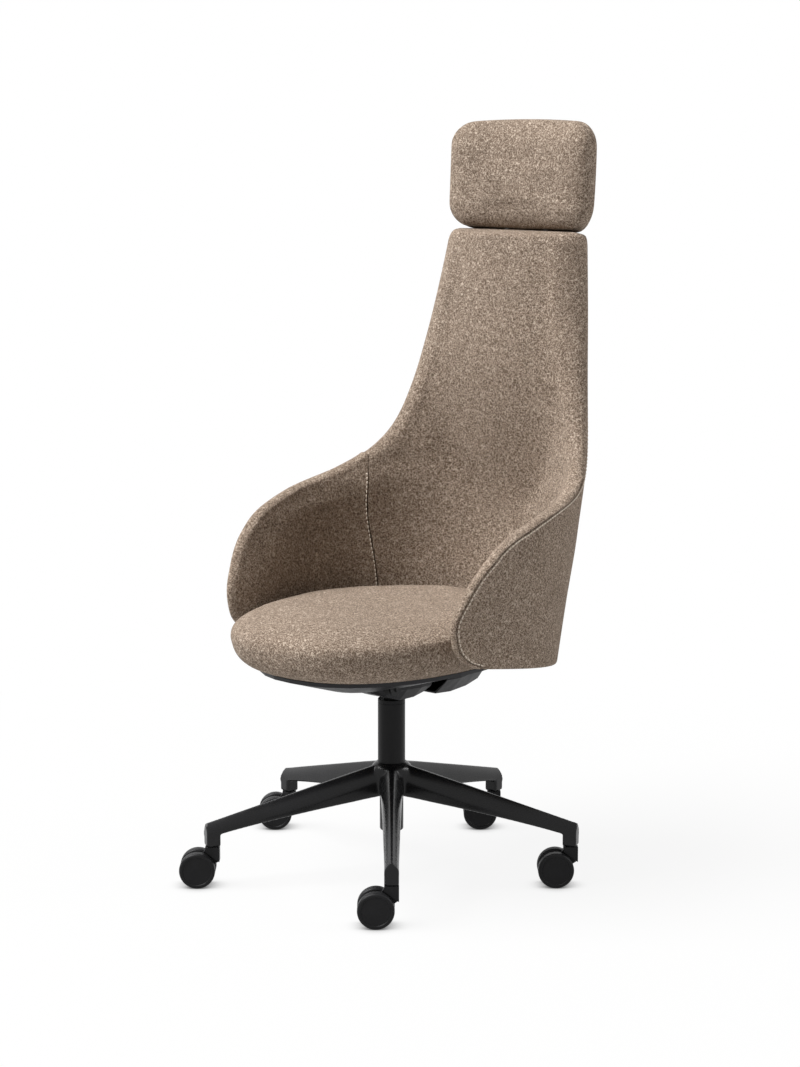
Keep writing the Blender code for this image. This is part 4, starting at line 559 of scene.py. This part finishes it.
backPad = {"lowRows": 26, "highRows": 69, "topRows": 12, "faceColumns": 44, "noseColumns": 13, "stepRun": 0.0009,
           "looseSeam": (0.006, 0.06), "looseEdge": (0.006, 0.05), "looseFoot": (0.006, 0.05),
           "puff": 0.002, "cap": 0.0025, "fill": 0.85}


def backPadRings():
    # inner face between the two arm seams below; above them it rolls over each free edge and over the top
    high = tub["height"]
    foot = tub["padFoot"]
    main = np.concatenate([foot + np.array(armPad["footRows"]),
                           np.linspace(foot + 0.010, lipStart - 0.01, backPad["lowRows"]),
                           edgeLevels(backPad["highRows"], lipStart - 0.004, high - tub["topLip"])])
    over = np.linspace(0, pi / 2, backPad["topRows"])
    level = np.concatenate([main, high - tub["topLip"] * (1 - np.sin(over))])[:, None]
    top = np.concatenate([np.ones(len(main)), np.cos(over)])[:, None]
    onTop = np.concatenate([np.zeros(len(main)), np.ones(len(over))])[:, None]
    lip = lipAt(level)
    edge = edgeWrapAt(level)
    speed = squareSpeed(edge, level)
    seam = seamWrapAt(level)
    row = np.linalg.norm(rowSpeed(seam, level), axis=-1)
    free = easeStep(level, lipStart + armPad["fadeAbove"], seamTop)
    sideSewn = np.minimum(seam, edge)
    h = halfThick(level) * hemShare(level - foot)
    turn = np.linspace(pi / 2, 0, backPad["noseColumns"])[None, :]
    sewnTail = sideSewn - lip / row * np.linspace(1, 0, backPad["noseColumns"])[None, :]
    tail = sewnTail + (edge - lip / speed * (1 - np.cos(turn)) - sewnTail) * free
    face = tail[:, :1] * spread(2 * backPad["faceColumns"] - 1)[None, backPad["faceColumns"] - 1:] * 2 - tail[:, :1]
    stepEnd = tail[:, :1] + (backPad["stepRun"] / speed) * free
    wrap = beside(face, face[:, -1:], stepEnd, tail[:, 1:])
    ones = np.ones_like(level)
    rounded = beside(np.ones_like(face), ones, ones, 1 + (np.sin(turn)[:, 1:] - 1) * free)
    crease = 1 - (1 - creaseShare((sideSewn - wrap) * row)) * (1 - free)
    fromSide = (edge - wrap) * speed
    inner, lipFace = wallFaces(fromSide, level, h, rounded)
    inner = (inner * crease - backFilling(wrap, level, fromSide) * np.cos(wrap) * rounded) * top
    back = h - tub["shellThick"] - tub["padGap"]
    back = back + (h * top - back) * onTop
    bare = np.maximum(free, easeStep((wrap - shellEdgeAt(level)) * speed, 0.0, 0.002))
    tailFace = back + (lipFace * top - back) * bare
    outer = beside(back * np.ones_like(face), back + (lipSunk * h * top - back) * free,
                   tailFace[:, -backPad["noseColumns"]:])
    wrap = beside(-wrap[:, :0:-1], wrap)
    inner = beside(inner[:, :0:-1], inner)
    outer = beside(outer[:, :0:-1], outer)
    rings = wallRings(wrap, level, inner, outer)
    fromSeam = (sideSewn - np.abs(wrap)) * row
    fromEdge = np.minimum((edge - np.abs(wrap)) * speed, high - level)
    return rings, heldRings(backPad, level, foot, fromSeam, fromEdge)


outerCover = {"rows": 112, "columns": 34, "borderRound": 0.0016}


def outerCoverRings():
    # moulded shell with the outer fabric glued on: flush with the lip, its border turned in at the seam
    high = tub["height"] - tub["topLip"] - tub["lipSeam"]
    level = np.concatenate([[0.0, 0.001, 0.003], edgeLevels(outerCover["rows"], 0.007, high - 0.003),
                            high - np.array([0.0016, 0.0007, 0.0])])[:, None]
    border = shellEdgeAt(level)
    speed = squareSpeed(edgeWrapAt(level), level)
    margin = border - np.array([0.0030, 0.0018, 0.0010, 0.0004, 0.0])[None, :] / speed
    wrap = beside(margin[:, :1] * np.linspace(0, 1, outerCover["columns"])[None, :-1], margin)
    wrap = beside(-wrap[:, :0:-1], wrap)
    r = outerCover["borderRound"]
    fromBorder = np.minimum((border - np.abs(wrap)) * speed, high - level)
    outer = halfThick(level) * hemShare(level) - r * sunk(fromBorder, r)
    inner = (halfThick(level) - tub["shellThick"]) * np.ones_like(wrap)
    return wallRings(wrap, level, inner, outer)


# seat cushion and headrest

cushion = {"low": 0.4054, "tall": 0.086, "half": 0.2479, "deep": 0.2692, "centre": 0.0193, "front": 0.345,
           "square": 2.35, "tight": 0.65, "rows": 66, "columns": 192,
           "inset": (0.200, 0.090, 0.056, 0.041, 0.025, 0.012, 0.004, 0.0, 0.002, 0.009, 0.024, 0.055, 0.120, 0.2),
           "share": (0.0, 0.0, 0.0, 0.04, 0.145, 0.30, 0.465, 0.62, 0.76, 0.865, 0.935, 0.975, 0.995, 1.0),
           "voxel": 0.006, "puff": 0.003, "cap": (0.004, 0.004, 0.010), "fill": 0.8}


def seatRings():
    # outline: rear half an ellipse inside the tub, front half a squarer round nose, |x/a|^n + |y/b|^n = 1, drawn in and
    # raised along a smooth profile of inset against height, fuller beside the arms
    station = np.arange(len(cushion["inset"]), dtype=float)
    at = np.linspace(0, station[-1], cushion["rows"])[:, None]
    share = smoothThrough(station, cushion["share"])(at)
    a = np.linspace(0, 2 * pi, cushion["columns"], endpoint=False)
    c = np.cos(a)
    s = np.sin(a)
    power = np.where(s >= 0, 1.0, 2 / cushion["square"])
    reach = np.where(s >= 0, cushion["deep"], cushion["front"])
    tight = cushion["tight"] * easeStep(share, 0.62, 0.9)
    inset = smoothThrough(station, cushion["inset"])(at) * (1 - tight * np.abs(c) ** 8)
    x = (cushion["half"] - inset) * np.sign(c) * np.abs(c) ** power + column["x"]
    y = cushion["centre"] + (reach - inset) * np.sign(s) * np.abs(s) ** power + column["y"]
    z = np.broadcast_to(cushion["low"] + cushion["tall"] * share, x.shape)
    return np.stack([x, y, z], -1)


headrest = {"at": (0.028, 0.3541, 1.1611), "lean": 0.054173, "wide": 0.329, "tall": 0.2085, "thick": 0.062,
            "corner": 0.048, "roll": 0.070, "rollDeep": 0.029, "underRoll": 0.55, "rearRound": 0.018, "crown": 0.004,
            "bowTop": 0.006, "bowSide": 0.003, "bend": 0.62, "forward": 0.008, "slit": -0.0014, "sink": 0.004,
            "sinkHigh": 0.030, "rollSteps": 14, "flatSteps": 9, "cornerSteps": 16, "flatShare": 0.92, "cornerLoss": 0.6,
            "cornerLeast": 0.3, "voxel": 0.005, "puff": 0.0015, "cap": 0.002, "fill": 0.85}


def headrestRings():
    # rounded rectangle drawn in along a broad roll at the front and a smaller round behind
    roll = headrest["roll"]
    rear = headrest["rearRound"]
    half = headrest["thick"] / 2
    wide = headrest["wide"] / 2
    tall = headrest["tall"] / 2
    a = np.linspace(0, pi / 2, headrest["rollSteps"])
    flat = np.linspace(headrest["flatShare"], 0.0, headrest["flatSteps"])[:-1]
    inset = np.concatenate([roll + flat * (tall - roll), roll * (1 - np.sin(a)), rear * (1 - np.cos(a))[1:],
                            rear + flat[::-1] * (tall - rear)])
    crown = headrest["crown"] * (1 - np.cos(pi * flat / flat[0])) / 2
    y = np.concatenate([-half - crown, -half + headrest["rollDeep"] * (1 - np.cos(a)),
                        half - rear + rear * np.sin(a)[1:], half + 0 * flat])
    corner = headrest["corner"]
    corner = np.maximum(corner - headrest["cornerLoss"] * inset, headrest["cornerLeast"] * corner)
    corner = np.minimum(corner, tall - inset)[:, None]
    step = np.linspace(0, pi / 2, headrest["cornerSteps"])
    angle = np.concatenate([step, step + pi / 2, step + pi, step + 1.5 * pi])[None, :]
    sx = np.repeat([1, -1, -1, 1], len(step))
    sz = np.repeat([1, 1, -1, -1], len(step))
    x = sx * (wide - inset[:, None] - corner) + corner * np.cos(angle)
    drawn = np.where(sz > 0, 1.0, headrest["underRoll"]) * inset[:, None]
    z = sz * (tall - drawn - corner) + corner * np.sin(angle)
    return np.stack([x, y[:, None] + 0 * x, z], -1)


def headrestShaped(points):
    # bowed sides, ends bent forward by x squared over twice the bend, an underside that follows the back's round top,
    # and the lean, applied to the evened-out block
    x, y, z = points.T
    wide = headrest["wide"] / 2
    tall = headrest["tall"] / 2
    x = x + np.sign(x) * headrest["bowSide"] * (np.abs(x) / wide) ** 2 * ((1 - (z / tall) ** 2) - 1)
    z = np.where(z > 0, z - headrest["bowTop"] * (z / tall) ** 2 * np.clip(x / wide, -1, 1) ** 2, z)
    y = y - headrest["forward"] - x * x / (2 * headrest["bend"])
    z = z + headrest["slit"] + tall
    a = halfWidthAt(tub["height"])
    crest = -depthAt(tub["height"]) * (1 - np.sqrt(1 - np.clip(x / a, -0.9, 0.9) ** 2))
    over = np.clip(np.abs(y - crest) / halfThick(tub["height"]), 0, 1)
    seated = np.minimum(tub["topLip"] * (1 - np.sqrt(1 - over ** 2)), headrest["sink"])
    z = z - seated * (1 - easeStep(z, 0.0, headrest["sinkHigh"]))
    c = cos(headrest["lean"])
    s = sin(headrest["lean"])
    at = headrest["at"]
    return np.stack([x + at[0], y * c + z * s + at[1], z * c - y * s + at[2]], -1)


def remeshed(item, voxel):
    # even quads all over, as cloth needs them
    addModifier(item, "even", "REMESH", mode="VOXEL", voxel_size=voxel)
    return bakedMesh(item)


def shrunk(item, free, amount):
    # drawn in along the normals where the cloth is free, so that it can swell to size
    normals = readValues(item.data.vertex_normals, "vector", 3)
    writePoints(item.data, readPoints(item.data) - normals * (amount * free)[:, None])


clothing = {"quality": 5, "mass": 0.3, "tension_stiffness": 18, "compression_stiffness": 18, "shear_stiffness": 8,
            "bending_stiffness": 1.5, "use_pressure": True, "uniform_pressure_force": 4.0, "vertex_group_mass": "held"}
lastFrame = 20


def addCloth(item, held):
    # pressed out from inside, held where the fabric is sewn or glued down
    weightGroup(item, "held", held, 10)
    cloth = addModifier(item, "puff", "CLOTH")
    setAll(cloth.settings, clothing)
    cloth.settings.effector_weights.gravity = 0
    setAll(cloth.collision_settings, {"use_collision": False, "use_self_collision": False})
    setAll(cloth.point_cache, {"frame_start": 1, "frame_end": lastFrame})


def evened(mesh, move):
    # each point's move drawn 40 times towards the mean of its neighbours' moves, so that no ridge is left
    ends = readValues(mesh.edges, "vertices", 2, np.int32)
    first, second = ends.T
    count = np.bincount(ends.ravel(), minlength=len(move))[:, None]
    for _ in range(40):
        total = np.zeros_like(move)
        np.add.at(total, first, move[second])
        np.add.at(total, second, move[first])
        move = 0.5 * move + 0.5 * total / np.maximum(count, 1)
    return move


def settleCloth(pads):
    # all pads swell together; how far a point may move is capped smoothly
    for number in range(1, lastFrame + 1):
        scene.frame_set(number)
    graph = bpy.context.evaluated_depsgraph_get()
    swollen = [readPoints(item.evaluated_get(graph).data) for item, held, settings in pads]
    for (item, held, settings), points in zip(pads, swollen):
        rest = readPoints(item.data)
        move = points - rest
        far = np.linalg.norm(move / settings["cap"], axis=1, keepdims=True)
        move = evened(item.data, move * np.tanh(far) / np.maximum(far, 1e-9)) * (1 - held)[:, None]
        item.modifiers.clear()
        item.vertex_groups.clear()
        writePoints(item.data, rest + move)
        print("  ", item.name, "moved up to %.1f mm" % (1000 * np.linalg.norm(move, axis=1).max()))
    scene.frame_set(1)


def heldShares(item):
    # the held shares that came through the merge with the points
    layer = item.data.attributes["held"]
    shares = readValues(layer.data, "value", 1)[:, 0].astype(float)
    item.data.attributes.remove(layer)
    return shares


def softPiece(name, body, node):
    item = bpy.data.objects[name]
    addModifier(item, "finer", "SUBSURF", levels=1, render_levels=1)
    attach(item, body)
    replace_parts(item, node)


pads = []
padRings = {"leftArmPad": (armPadRings(1), armPad), "rightArmPad": (armPadRings(-1), armPad),
            "backPad": (backPadRings(), backPad)}
for padName, ((rings, held), settings) in padRings.items():
    item = ringsPiece(padName, rings, fabric, held)
    pads.append((item, heldShares(item), settings))
item = remeshed(ringsPiece("seatCushion", seatRings(), fabric), cushion["voxel"])
held = 1 - easeStep(readPoints(item.data)[:, 2] - cushion["low"], 0.004, 0.045)
pads.append((item, held, cushion))
item = remeshed(ringsPiece("headrestPad", headrestRings(), fabric), headrest["voxel"])
writePoints(item.data, headrestShaped(readPoints(item.data)))
pads.append((item, easeStep(readPoints(item.data)[:, 1] - headrest["at"][1], -0.01, 0.02), headrest))
ringsPiece("outerCover", outerCoverRings(), fabric)
print("fabric pieces drawn")

for item, held, settings in pads:
    shrunk(item, 1 - held, settings["puff"])
    addCloth(item, held)
settleCloth(pads)
print("cushions swollen")

softPiece("leftArmPad", "seat", "left_arm_pad")
softPiece("rightArmPad", "seat", "right_arm_pad")
softPiece("backPad", "seat", "back_pad")
softPiece("seatCushion", "seat", "seat_cushion")
softPiece("headrestPad", "headrest", "headrest_pad")
softPiece("outerCover", "seat", "tub_shell")


# stitching

stitching = {"pitch": 0.0085, "length": 0.0066, "thick": 0.0013, "fromSeam": 0.0036, "sides": 6}


def alongPath(at, run, rows):
    return np.stack([np.interp(at, run, rows[:, k]) for k in range(3)], -1)


def stitchRow(name, path, outward):
    # each stitch is a small bar along the path, thickest in the middle and sunk at its ends
    run = runAlong(path)
    at = np.arange(stitching["pitch"], run[-1] - stitching["pitch"], stitching["pitch"])
    where = alongPath(at, run, path)
    ahead = unit(alongPath(at + 0.002, run, path) - alongPath(at - 0.002, run, path))
    across = unit(np.cross(alongPath(at, run, outward), ahead))
    up = np.cross(ahead, across)
    along = np.array([-0.5, -0.42, 0.0, 0.42, 0.5]) * stitching["length"]
    wide = np.array([0.25, 0.8, 1.0, 0.8, 0.25]) * stitching["thick"]
    lift = np.array([-0.9, 0.0, 0.45, 0.0, -0.9]) * stitching["thick"]
    sides = stitching["sides"]
    a = np.linspace(0, 2 * pi, sides, endpoint=False)
    ring = (where[:, None, None] + ahead[:, None, None] * along[:, None, None]
            + across[:, None, None] * (wide[:, None] * np.cos(a))[..., None]
            + up[:, None, None] * (lift[:, None] + 0.8 * wide[:, None] * np.sin(a))[..., None])
    one = closedRingFaces(len(along), sides)
    faces = (one[None] + len(along) * sides * np.arange(len(at))[:, None, None]).reshape(-1, 4)
    return putMesh(name, ring, faces, thread)


def stitchesOnEdge(side):
    # beside the lip seam, on the outer fabric, from the arm's lower front corner to the top of the back
    level = edgeLevels(900, 0.006, tub["height"] - 0.05)
    wrap = shellEdgeAt(level) - stitching["fromSeam"] / squareSpeed(edgeWrapAt(level), level)
    path = tubPoint(side * wrap, level, halfThick(level))
    return path, tubPoint(side * wrap, level, halfThick(level) + 0.01) - path


def stitchesOnArm(side):
    # beside the crease between the back and an arm, on the arm's fabric
    level = np.linspace(tub["padFoot"] + 0.02, seamTop - 0.03, 300)
    row = np.linalg.norm(rowSpeed(seamWrapAt(level), level), axis=-1)
    wrap = seamWrapAt(level) + (tub["seamGap"] + stitching["fromSeam"]) / row
    edge = edgeWrapAt(level)
    inner = wallFaces((edge - wrap) * squareSpeed(edge, level), level, halfThick(level), 1.0)[0]
    depth = inner * creaseShare(stitching["fromSeam"])
    path = tubPoint(side * wrap, level, depth)
    return path, tubPoint(side * wrap, level, depth - 0.01) - path


for side, word in ((1, "Left"), (-1, "Right")):
    for start, drawn in (("edgeStitches", stitchesOnEdge), ("armStitches", stitchesOnArm)):
        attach(stitchRow(start + word, *drawn(side)), "seat")
print("seams stitched")


# five-arm base

base = {"legs": 5, "firstLeg": -50.0, "reach": 0.34, "stemFace": 0.0745, "hubTop": 0.204, "hubRadius": 0.038,
        "hubBoss": 0.0218, "shoulder": 0.013, "tipWidth": 0.0256, "rootWidth": 0.042, "tipHeight": 0.0265,
        "rootHeight": 0.057, "bossDrop": 0.015, "ridge": 0.009, "taper": 1.3, "flare": 0.75, "chamfer": 0.12,
        "archSide": 0.46, "archRise": 0.52, "archShare": 0.72, "archMost": 0.030, "legStart": 0.5, "legRoot": 0.79,
        "ridgeDrop": 0.35, "waist": 0.72, "legRows": 70, "voxel": 0.0018, "hubBlend": 26,
        "blendOut": (0.045, 0.085), "blendIn": (0.027, 0.031)}


def legAngle(k):
    return radians(base["firstLeg"]) + 2 * pi * k / base["legs"]


def legSection(width, low, high, arch, ridge):
    # chamfered foot, upright sides, and a pointed arch: a quadratic curve from the side to the flat ridge
    t = np.linspace(0, 1, 12)[None, :]
    chamfer = base["chamfer"] * width
    spring = high - arch
    archY = ((1 - t) ** 2 * 0.5 * width + 2 * t * (1 - t) * base["archSide"] * width
             + t ** 2 * (0.5 * ridge + 0.0005))
    archZ = spring + arch * (2 * t * (1 - t) * base["archRise"] + t ** 2)
    side = np.linspace(0, 1, 6)[None, :-1]
    foot = np.linspace(0, 1, 5)[None, :-1]
    turn = np.linspace(0, pi / 2, 4)[None, :-1]
    y = beside((0.5 * width - chamfer) * foot, 0.5 * width - chamfer + chamfer * np.sin(turn),
               0.5 * width + 0 * side, archY)
    z = beside(low + 0 * foot, low + chamfer - chamfer * np.cos(turn),
               low + chamfer + (spring - low - chamfer) * side, archZ)
    return beside(y, -y[:, ::-1]), beside(z, z[:, ::-1])


def legRings():
    # sections from inside the hub to the tip: the ridge falls straight, depth and width shrink with the reach
    root = base["hubRadius"] * base["legStart"]
    half = base["tipWidth"] / 2
    tip = base["reach"] + half
    heel = base["reach"] - half
    hubRoot = base["hubRadius"] * base["legRoot"]
    run = heel - hubRoot
    share = np.linspace((root - hubRoot) / run, (tip - hubRoot) / run, base["legRows"])[:, None]
    inside = np.clip(share, 0, 1)
    reach = hubRoot + run * share
    tipTop = base["stemFace"] + base["bossDrop"] + base["tipHeight"]
    rootTop = base["hubTop"] - base["shoulder"] * base["ridgeDrop"]
    high = rootTop + (tipTop - rootTop) * share * run / (tip - hubRoot)
    deep = base["tipHeight"] + (base["rootHeight"] - base["tipHeight"]) * (1 - inside) ** base["taper"]
    flare = base["flare"] * (1 - inside) + (1 - base["flare"]) * (1 - inside) ** 6
    width = base["tipWidth"] + (base["rootWidth"] - base["tipWidth"]) * flare
    arch = np.minimum(base["archShare"] * deep, base["archMost"])
    y, z = legSection(width, high - deep, high, arch, base["ridge"] * (1 - inside))
    return np.stack([np.broadcast_to(reach, y.shape), y, z], -1)


def bossRings():
    # square post with rounded corners under the leg's tip, chamfered at its foot
    half = base["tipWidth"] / 2
    a = np.linspace(0, 2 * pi, 48, endpoint=False)
    square = (np.abs(np.cos(a)) ** 10 + np.abs(np.sin(a)) ** 10) ** -0.1
    drop = np.array([0.0, 0.0015, 0.010, base["bossDrop"] + 0.012])
    size = np.array([half - 0.0015, half, half, half])
    x = base["reach"] + size[:, None] * square * np.cos(a)
    z = np.broadcast_to((base["stemFace"] + drop)[:, None], x.shape)
    return np.stack([x, size[:, None] * square * np.sin(a), z], -1)


def spunPoints(rings, angle):
    c = cos(angle)
    s = sin(angle)
    x, y, z = np.moveaxis(rings, -1, 0)
    return np.stack([x * c - y * s + column["x"], x * s + y * c + column["y"], z], -1)


def starBase():
    parts = []
    for k in range(base["legs"]):
        parts += [spunPoints(legRings(), legAngle(k)), spunPoints(bossRings(), legAngle(k))]
    top = base["hubTop"]
    foot = base["stemFace"]
    shoulder = top - base["shoulder"]
    waist = shoulder - base["rootHeight"] * base["waist"]
    r = base["hubRadius"]
    boss = base["hubBoss"]
    profile = [(0.001, foot), (boss - 0.002, foot), (boss, foot + 0.002), (boss, waist - 0.012), (0.9 * r, waist),
               (r, waist + 0.008), (r, shoulder), (0.95 * r, shoulder + 0.005),
               (0.86 * r, top - 0.3 * base["shoulder"]), (0.0270, top), (0.001, top)]
    parts.append(spunPoints(turnedRings(profile, 96), 0.0))
    points = []
    faces = []
    count = 0
    for rings in parts:
        faces.append(closedRingFaces(*rings.shape[:2], count))
        points.append(rings.reshape(-1, 3))
        count += len(points[-1])
    item = putMesh("starBase", np.concatenate(points), np.concatenate(faces), finish["powderCoat"])
    remeshed(item, base["voxel"])
    # fillets: the union is smoothed a little all over and much more where the legs meet the hub
    co = readPoints(item.data)
    reach = np.hypot(co[:, 0] - column["x"], co[:, 1] - column["y"])
    nearHub = (1 - easeStep(reach, *base["blendOut"])) * easeStep(reach, *base["blendIn"])
    weightGroup(item, "hub", nearHub, 5)
    addModifier(item, "even", "SMOOTH", factor=0.4, iterations=2)
    addModifier(item, "fillet", "SMOOTH", factor=0.5, iterations=base["hubBlend"], vertex_group="hub")
    bakedMesh(item)
    item.vertex_groups.clear()
    return item


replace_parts(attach(starBase(), "base"), "star_base")
print("base cast")


# castors

castor = {"trail": 0.027, "trailAngle": 220.0, "axle": 0.0325, "radius": 0.0325, "wide": 0.0195, "web": 0.011,
          "gap": 0.001, "bore": 0.0043, "rim": 0.0050, "rimDepth": 0.0015, "treadRound": 0.0045, "sides": 72}


def wheelProfile():
    # radius against distance from the inner face: rounded tread, raised rim ring, flat disc over the axle's end
    r = castor["radius"]
    w = castor["wide"]
    e = castor["treadRound"]
    a = np.linspace(0, pi / 2, 8)
    tread = np.stack([r - e + e * np.sin(a), e - e * np.cos(a)], -1)
    outer = np.stack([r - e + e * np.cos(a), w - e + e * np.sin(a)], -1)
    groove = [(r - 0.0001, 0.0070), (r - 0.0006, 0.0075), (r - 0.0001, 0.0080)]
    ring = r - e - castor["rim"] + 0.003
    disc = w - castor["rimDepth"]
    face = [(ring + 0.0006, w), (ring, w - 0.0003), (ring - 0.0009, disc), (ring - 0.010, disc + 0.0003),
            (0.0001, disc + 0.0004), (0.0001, disc - 0.0008), (castor["bore"], disc - 0.0008)]
    return np.concatenate([[(castor["bore"], 0.0)], [(r - e - 0.006, 0.0)], tread, groove, outer, face])


def wheelPlace(k, side):
    # turns the profile's axis to the axle and stands the wheel on the floor
    angle = legAngle(k)
    trail = radians(castor["trailAngle"])
    x = column["x"] + base["reach"] * cos(angle) + castor["trail"] * cos(trail)
    y = column["y"] + base["reach"] * sin(angle) + castor["trail"] * sin(trail)
    ax = -side * sin(trail)
    ay = side * cos(trail)
    shift = castor["web"] / 2 + castor["gap"]
    turn = [(cos(trail), 0.0, ax), (sin(trail), 0.0, ay), (0.0, 1.0, 0.0)]
    return turn, (x + ax * shift, y + ay * shift, castor["axle"])


for k in range(base["legs"]):
    for letter, side in (("a", 1), ("b", -1)):
        tag = "%s_%d" % (letter, k + 1)
        wheel = turnedPiece("castorWheel_" + tag, wheelProfile(), castor["sides"], finish["mouldedBlack"],
                            wheelPlace(k, side))
        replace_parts(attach(wheel, "wheel_" + tag), "castor_wheel_" + tag)
print("castors turned")


# gas column

gas = {"seat": 0.1983, "top": 0.3223, "radius": 0.025, "wall": 0.0017, "sides": 96}


def columnProfile():
    # outer tube with a shallow ring near its top, stepped down to the taper that sits in the hub
    r = gas["radius"]
    top = gas["top"]
    seat = gas["seat"]
    bore = r - gas["wall"]
    return [(r - 0.0012, top), (r - 0.0003, top - 0.0004), (r, top - 0.0014), (r, top - 0.0060),
            (r - 0.0005, top - 0.0064), (r - 0.0005, top - 0.0074), (r, top - 0.0078), (r, seat + 0.0005),
            (r - 0.0005, seat), (0.019, seat), (0.0172, 0.0805), (0.0056, 0.0805), (0.0056, 0.0865), (0.0153, 0.0865),
            (0.0153, seat + 0.004), (bore, seat + 0.004), (bore, top)]


upright = (np.eye(3), (column["x"], column["y"], 0.0))
tube = turnedPiece("columnTube", columnProfile(), gas["sides"], finish["tubeCoat"], upright)
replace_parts(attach(tube, "base"), "column_tube")
print("column turned")


# finishes and softened edges for the nodes that stay

keptFinish = {
    "zincSteel": ("castor_stem", "castor_axle", "piston_rod", "column_clip", "release_pin", "lever_pin",
                  "headrest_yoke", "thrust_bearing"),
    "castBlack": ("pivot_pin", "mech_housing", "tilt_carrier"), "tubeCoat": ("gas_cylinder",),
    "mouldedBlack": ("guide_bush", "headrest_guide", "castor_hood"), "panBlack": ("seat_pan",),
    "rubberBlock": ("torsion_bush", "front_stop", "rear_stop"), "powderCoat": ("tub_bracket", "height_lever"),
    "plywood": ("seat_board", "headrest_core"),
}
edgeRound = {"castor_hood": 0.0012, "mech_housing": 0.0016, "tilt_carrier": 0.0010, "height_lever": 0.0010,
             "tub_bracket": 0.0006}


def softenEdges(node, width):
    # welds the loose triangles and rounds the corners between them
    addModifier(node, "weld", "WELD", merge_threshold=0.00002)
    addModifier(node, "edges", "BEVEL", width=width, segments=2, limit_method="ANGLE", angle_limit=radians(28),
                harden_normals=False)


for name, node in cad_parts.items():
    if node.hide_render:
        continue
    for key, starts in keptFinish.items():
        if name.startswith(starts):
            node.data.materials.clear()
            node.data.materials.append(finish[key])
    for start, width in edgeRound.items():
        if name.startswith(start):
            softenEdges(node, width)
print("kept nodes finished")


# studio: white sweep, overhead softbox from the sitter's front, weaker rim from behind on the right

studio = {"floor": (0.55, 0.55, 0.55), "glowNear": 0.90, "glowFar": 1.0, "fadeFrom": 0.45, "fadeTo": 1.7,
          "ambient": 0.225, "warmth": (1.0, 0.95, 0.89), "floorHalf": 9.0, "contact": 0.05, "paintedContactShade": 0.12}
softboxes = {"overheadFront": {"place": (-4.65, -4.75, 10.6), "aim": (0.03, 0.0, 0.6), "size": 8.0, "power": 2950.0},
             "rimRight": {"place": (2.3, 1.9, 1.9), "aim": (0.03, 0.1, 0.8), "size": 1.0, "power": 30.0}}
camera = {"away": 4.543, "azimuth": 40.0, "height": 1.3826, "down": 9.437, "aside": 0.196, "lens": 85.77,
          "sensor": 36.0}


def seenBy(tree, *rays):
    # 1 for these kinds of ray, 0 for the rest
    path = addNode(tree, "LightPath", {})
    seen = path.outputs[rays[0]]
    for ray in rays[1:]:
        seen = doMath(tree, "MAXIMUM", seen, path.outputs[ray])
    return seen


def mixedInto(tree, share, first, second, end):
    # two shaders mixed by share into the output node
    mix = addNode(tree, "MixShader", {0: share, 1: first, 2: second})
    feed(tree, tree.nodes[end], {"Surface": mix.outputs["Shader"]})


def addFloor():
    # the sweep glows plain white away from the chair. Towards it the glow gives way to the darker lit floor, which
    # keeps some real shadow and also greys as painted shade, and a painted contact shadow dims the glow where the chair
    # stands close above the floor
    material, tree, shader = newMaterial("white sweep")
    feed(tree, shader, {"Base Color": studio["floor"] + (1.0,), "Roughness": 0.9, "Specular IOR Level": 0.0})
    # painted contact shadow: ambient occlusion within a few centimetres dims the glow beneath the wheels and base
    close = addNode(tree, "AmbientOcclusion", {"Distance": studio["contact"]}).outputs["AO"]
    power = remap(tree, close, 0.0, 0.9, studio["paintedContactShade"], 1.0)
    glow = addNode(tree, "Emission", {"Color": (1.0, 1.0, 1.0, 1.0), "Strength": power})
    place = objectPlace(tree, shift=(-column["x"], -column["y"], 0.0))
    away = addNode(tree, "VectorMath", {0: place}, operation="LENGTH").outputs["Value"]
    # towards the chair less glow and more of the darker lit floor: partly real shadow, partly a painted grey
    glowShare = remap(tree, away, studio["fadeFrom"], studio["fadeTo"], studio["glowNear"], studio["glowFar"])
    share = doMath(tree, "MULTIPLY", seenBy(tree, "Is Camera Ray", "Is Glossy Ray"), glowShare)
    mixedInto(tree, share, shader.outputs["BSDF"], glow.outputs["Emission"], "Material Output")
    h = studio["floorHalf"]
    points = [(-h, -h, 0.0), (h, -h, 0.0), (h, h, 0.0), (-h, h, 0.0)]
    mesh = bpy.data.meshes.new("floor")
    mesh.from_pydata(points, [], [(0, 1, 2, 3)])
    mesh.materials.append(material)
    addItem("floor", mesh)


def addWorld():
    world = bpy.data.worlds.new("studio")
    scene.world = world
    world.use_nodes = True
    tree = world.node_tree
    plain = tree.nodes["Background"]
    feed(tree, plain, {"Color": studio["warmth"] + (1.0,), "Strength": studio["ambient"]})
    white = addNode(tree, "Background", {"Color": (1.0, 1.0, 1.0, 1.0), "Strength": 1.0})
    seen = seenBy(tree, "Is Camera Ray", "Is Glossy Ray", "Is Transmission Ray")
    mixedInto(tree, seen, plain.outputs["Background"], white.outputs["Background"], "World Output")


def addSoftbox(name, place, aim, size, power):
    light = bpy.data.lights.new(name, "AREA")
    setAll(light, {"shape": "SQUARE", "size": size, "energy": power})
    item = addItem(name, light)
    item.location = place
    item.rotation_euler = (Vector(aim) - Vector(place)).to_track_quat("-Z", "Y").to_euler()


def addCamera():
    view = bpy.data.cameras.new("camera")
    view.sensor_width = camera["sensor"]
    view.lens = camera["lens"]
    item = addItem("camera", view)
    turn = radians(camera["azimuth"])
    item.location = (column["x"] + camera["away"] * sin(turn), column["y"] - camera["away"] * cos(turn),
                     camera["height"])
    item.rotation_euler = (radians(90 - camera["down"]), 0.0, radians(camera["azimuth"] - camera["aside"]))
    scene.camera = item


addFloor()
addWorld()
for name, box in softboxes.items():
    addSoftbox(name, **box)
addCamera()
scene.view_settings.view_transform = "Standard"
print("studio lit")
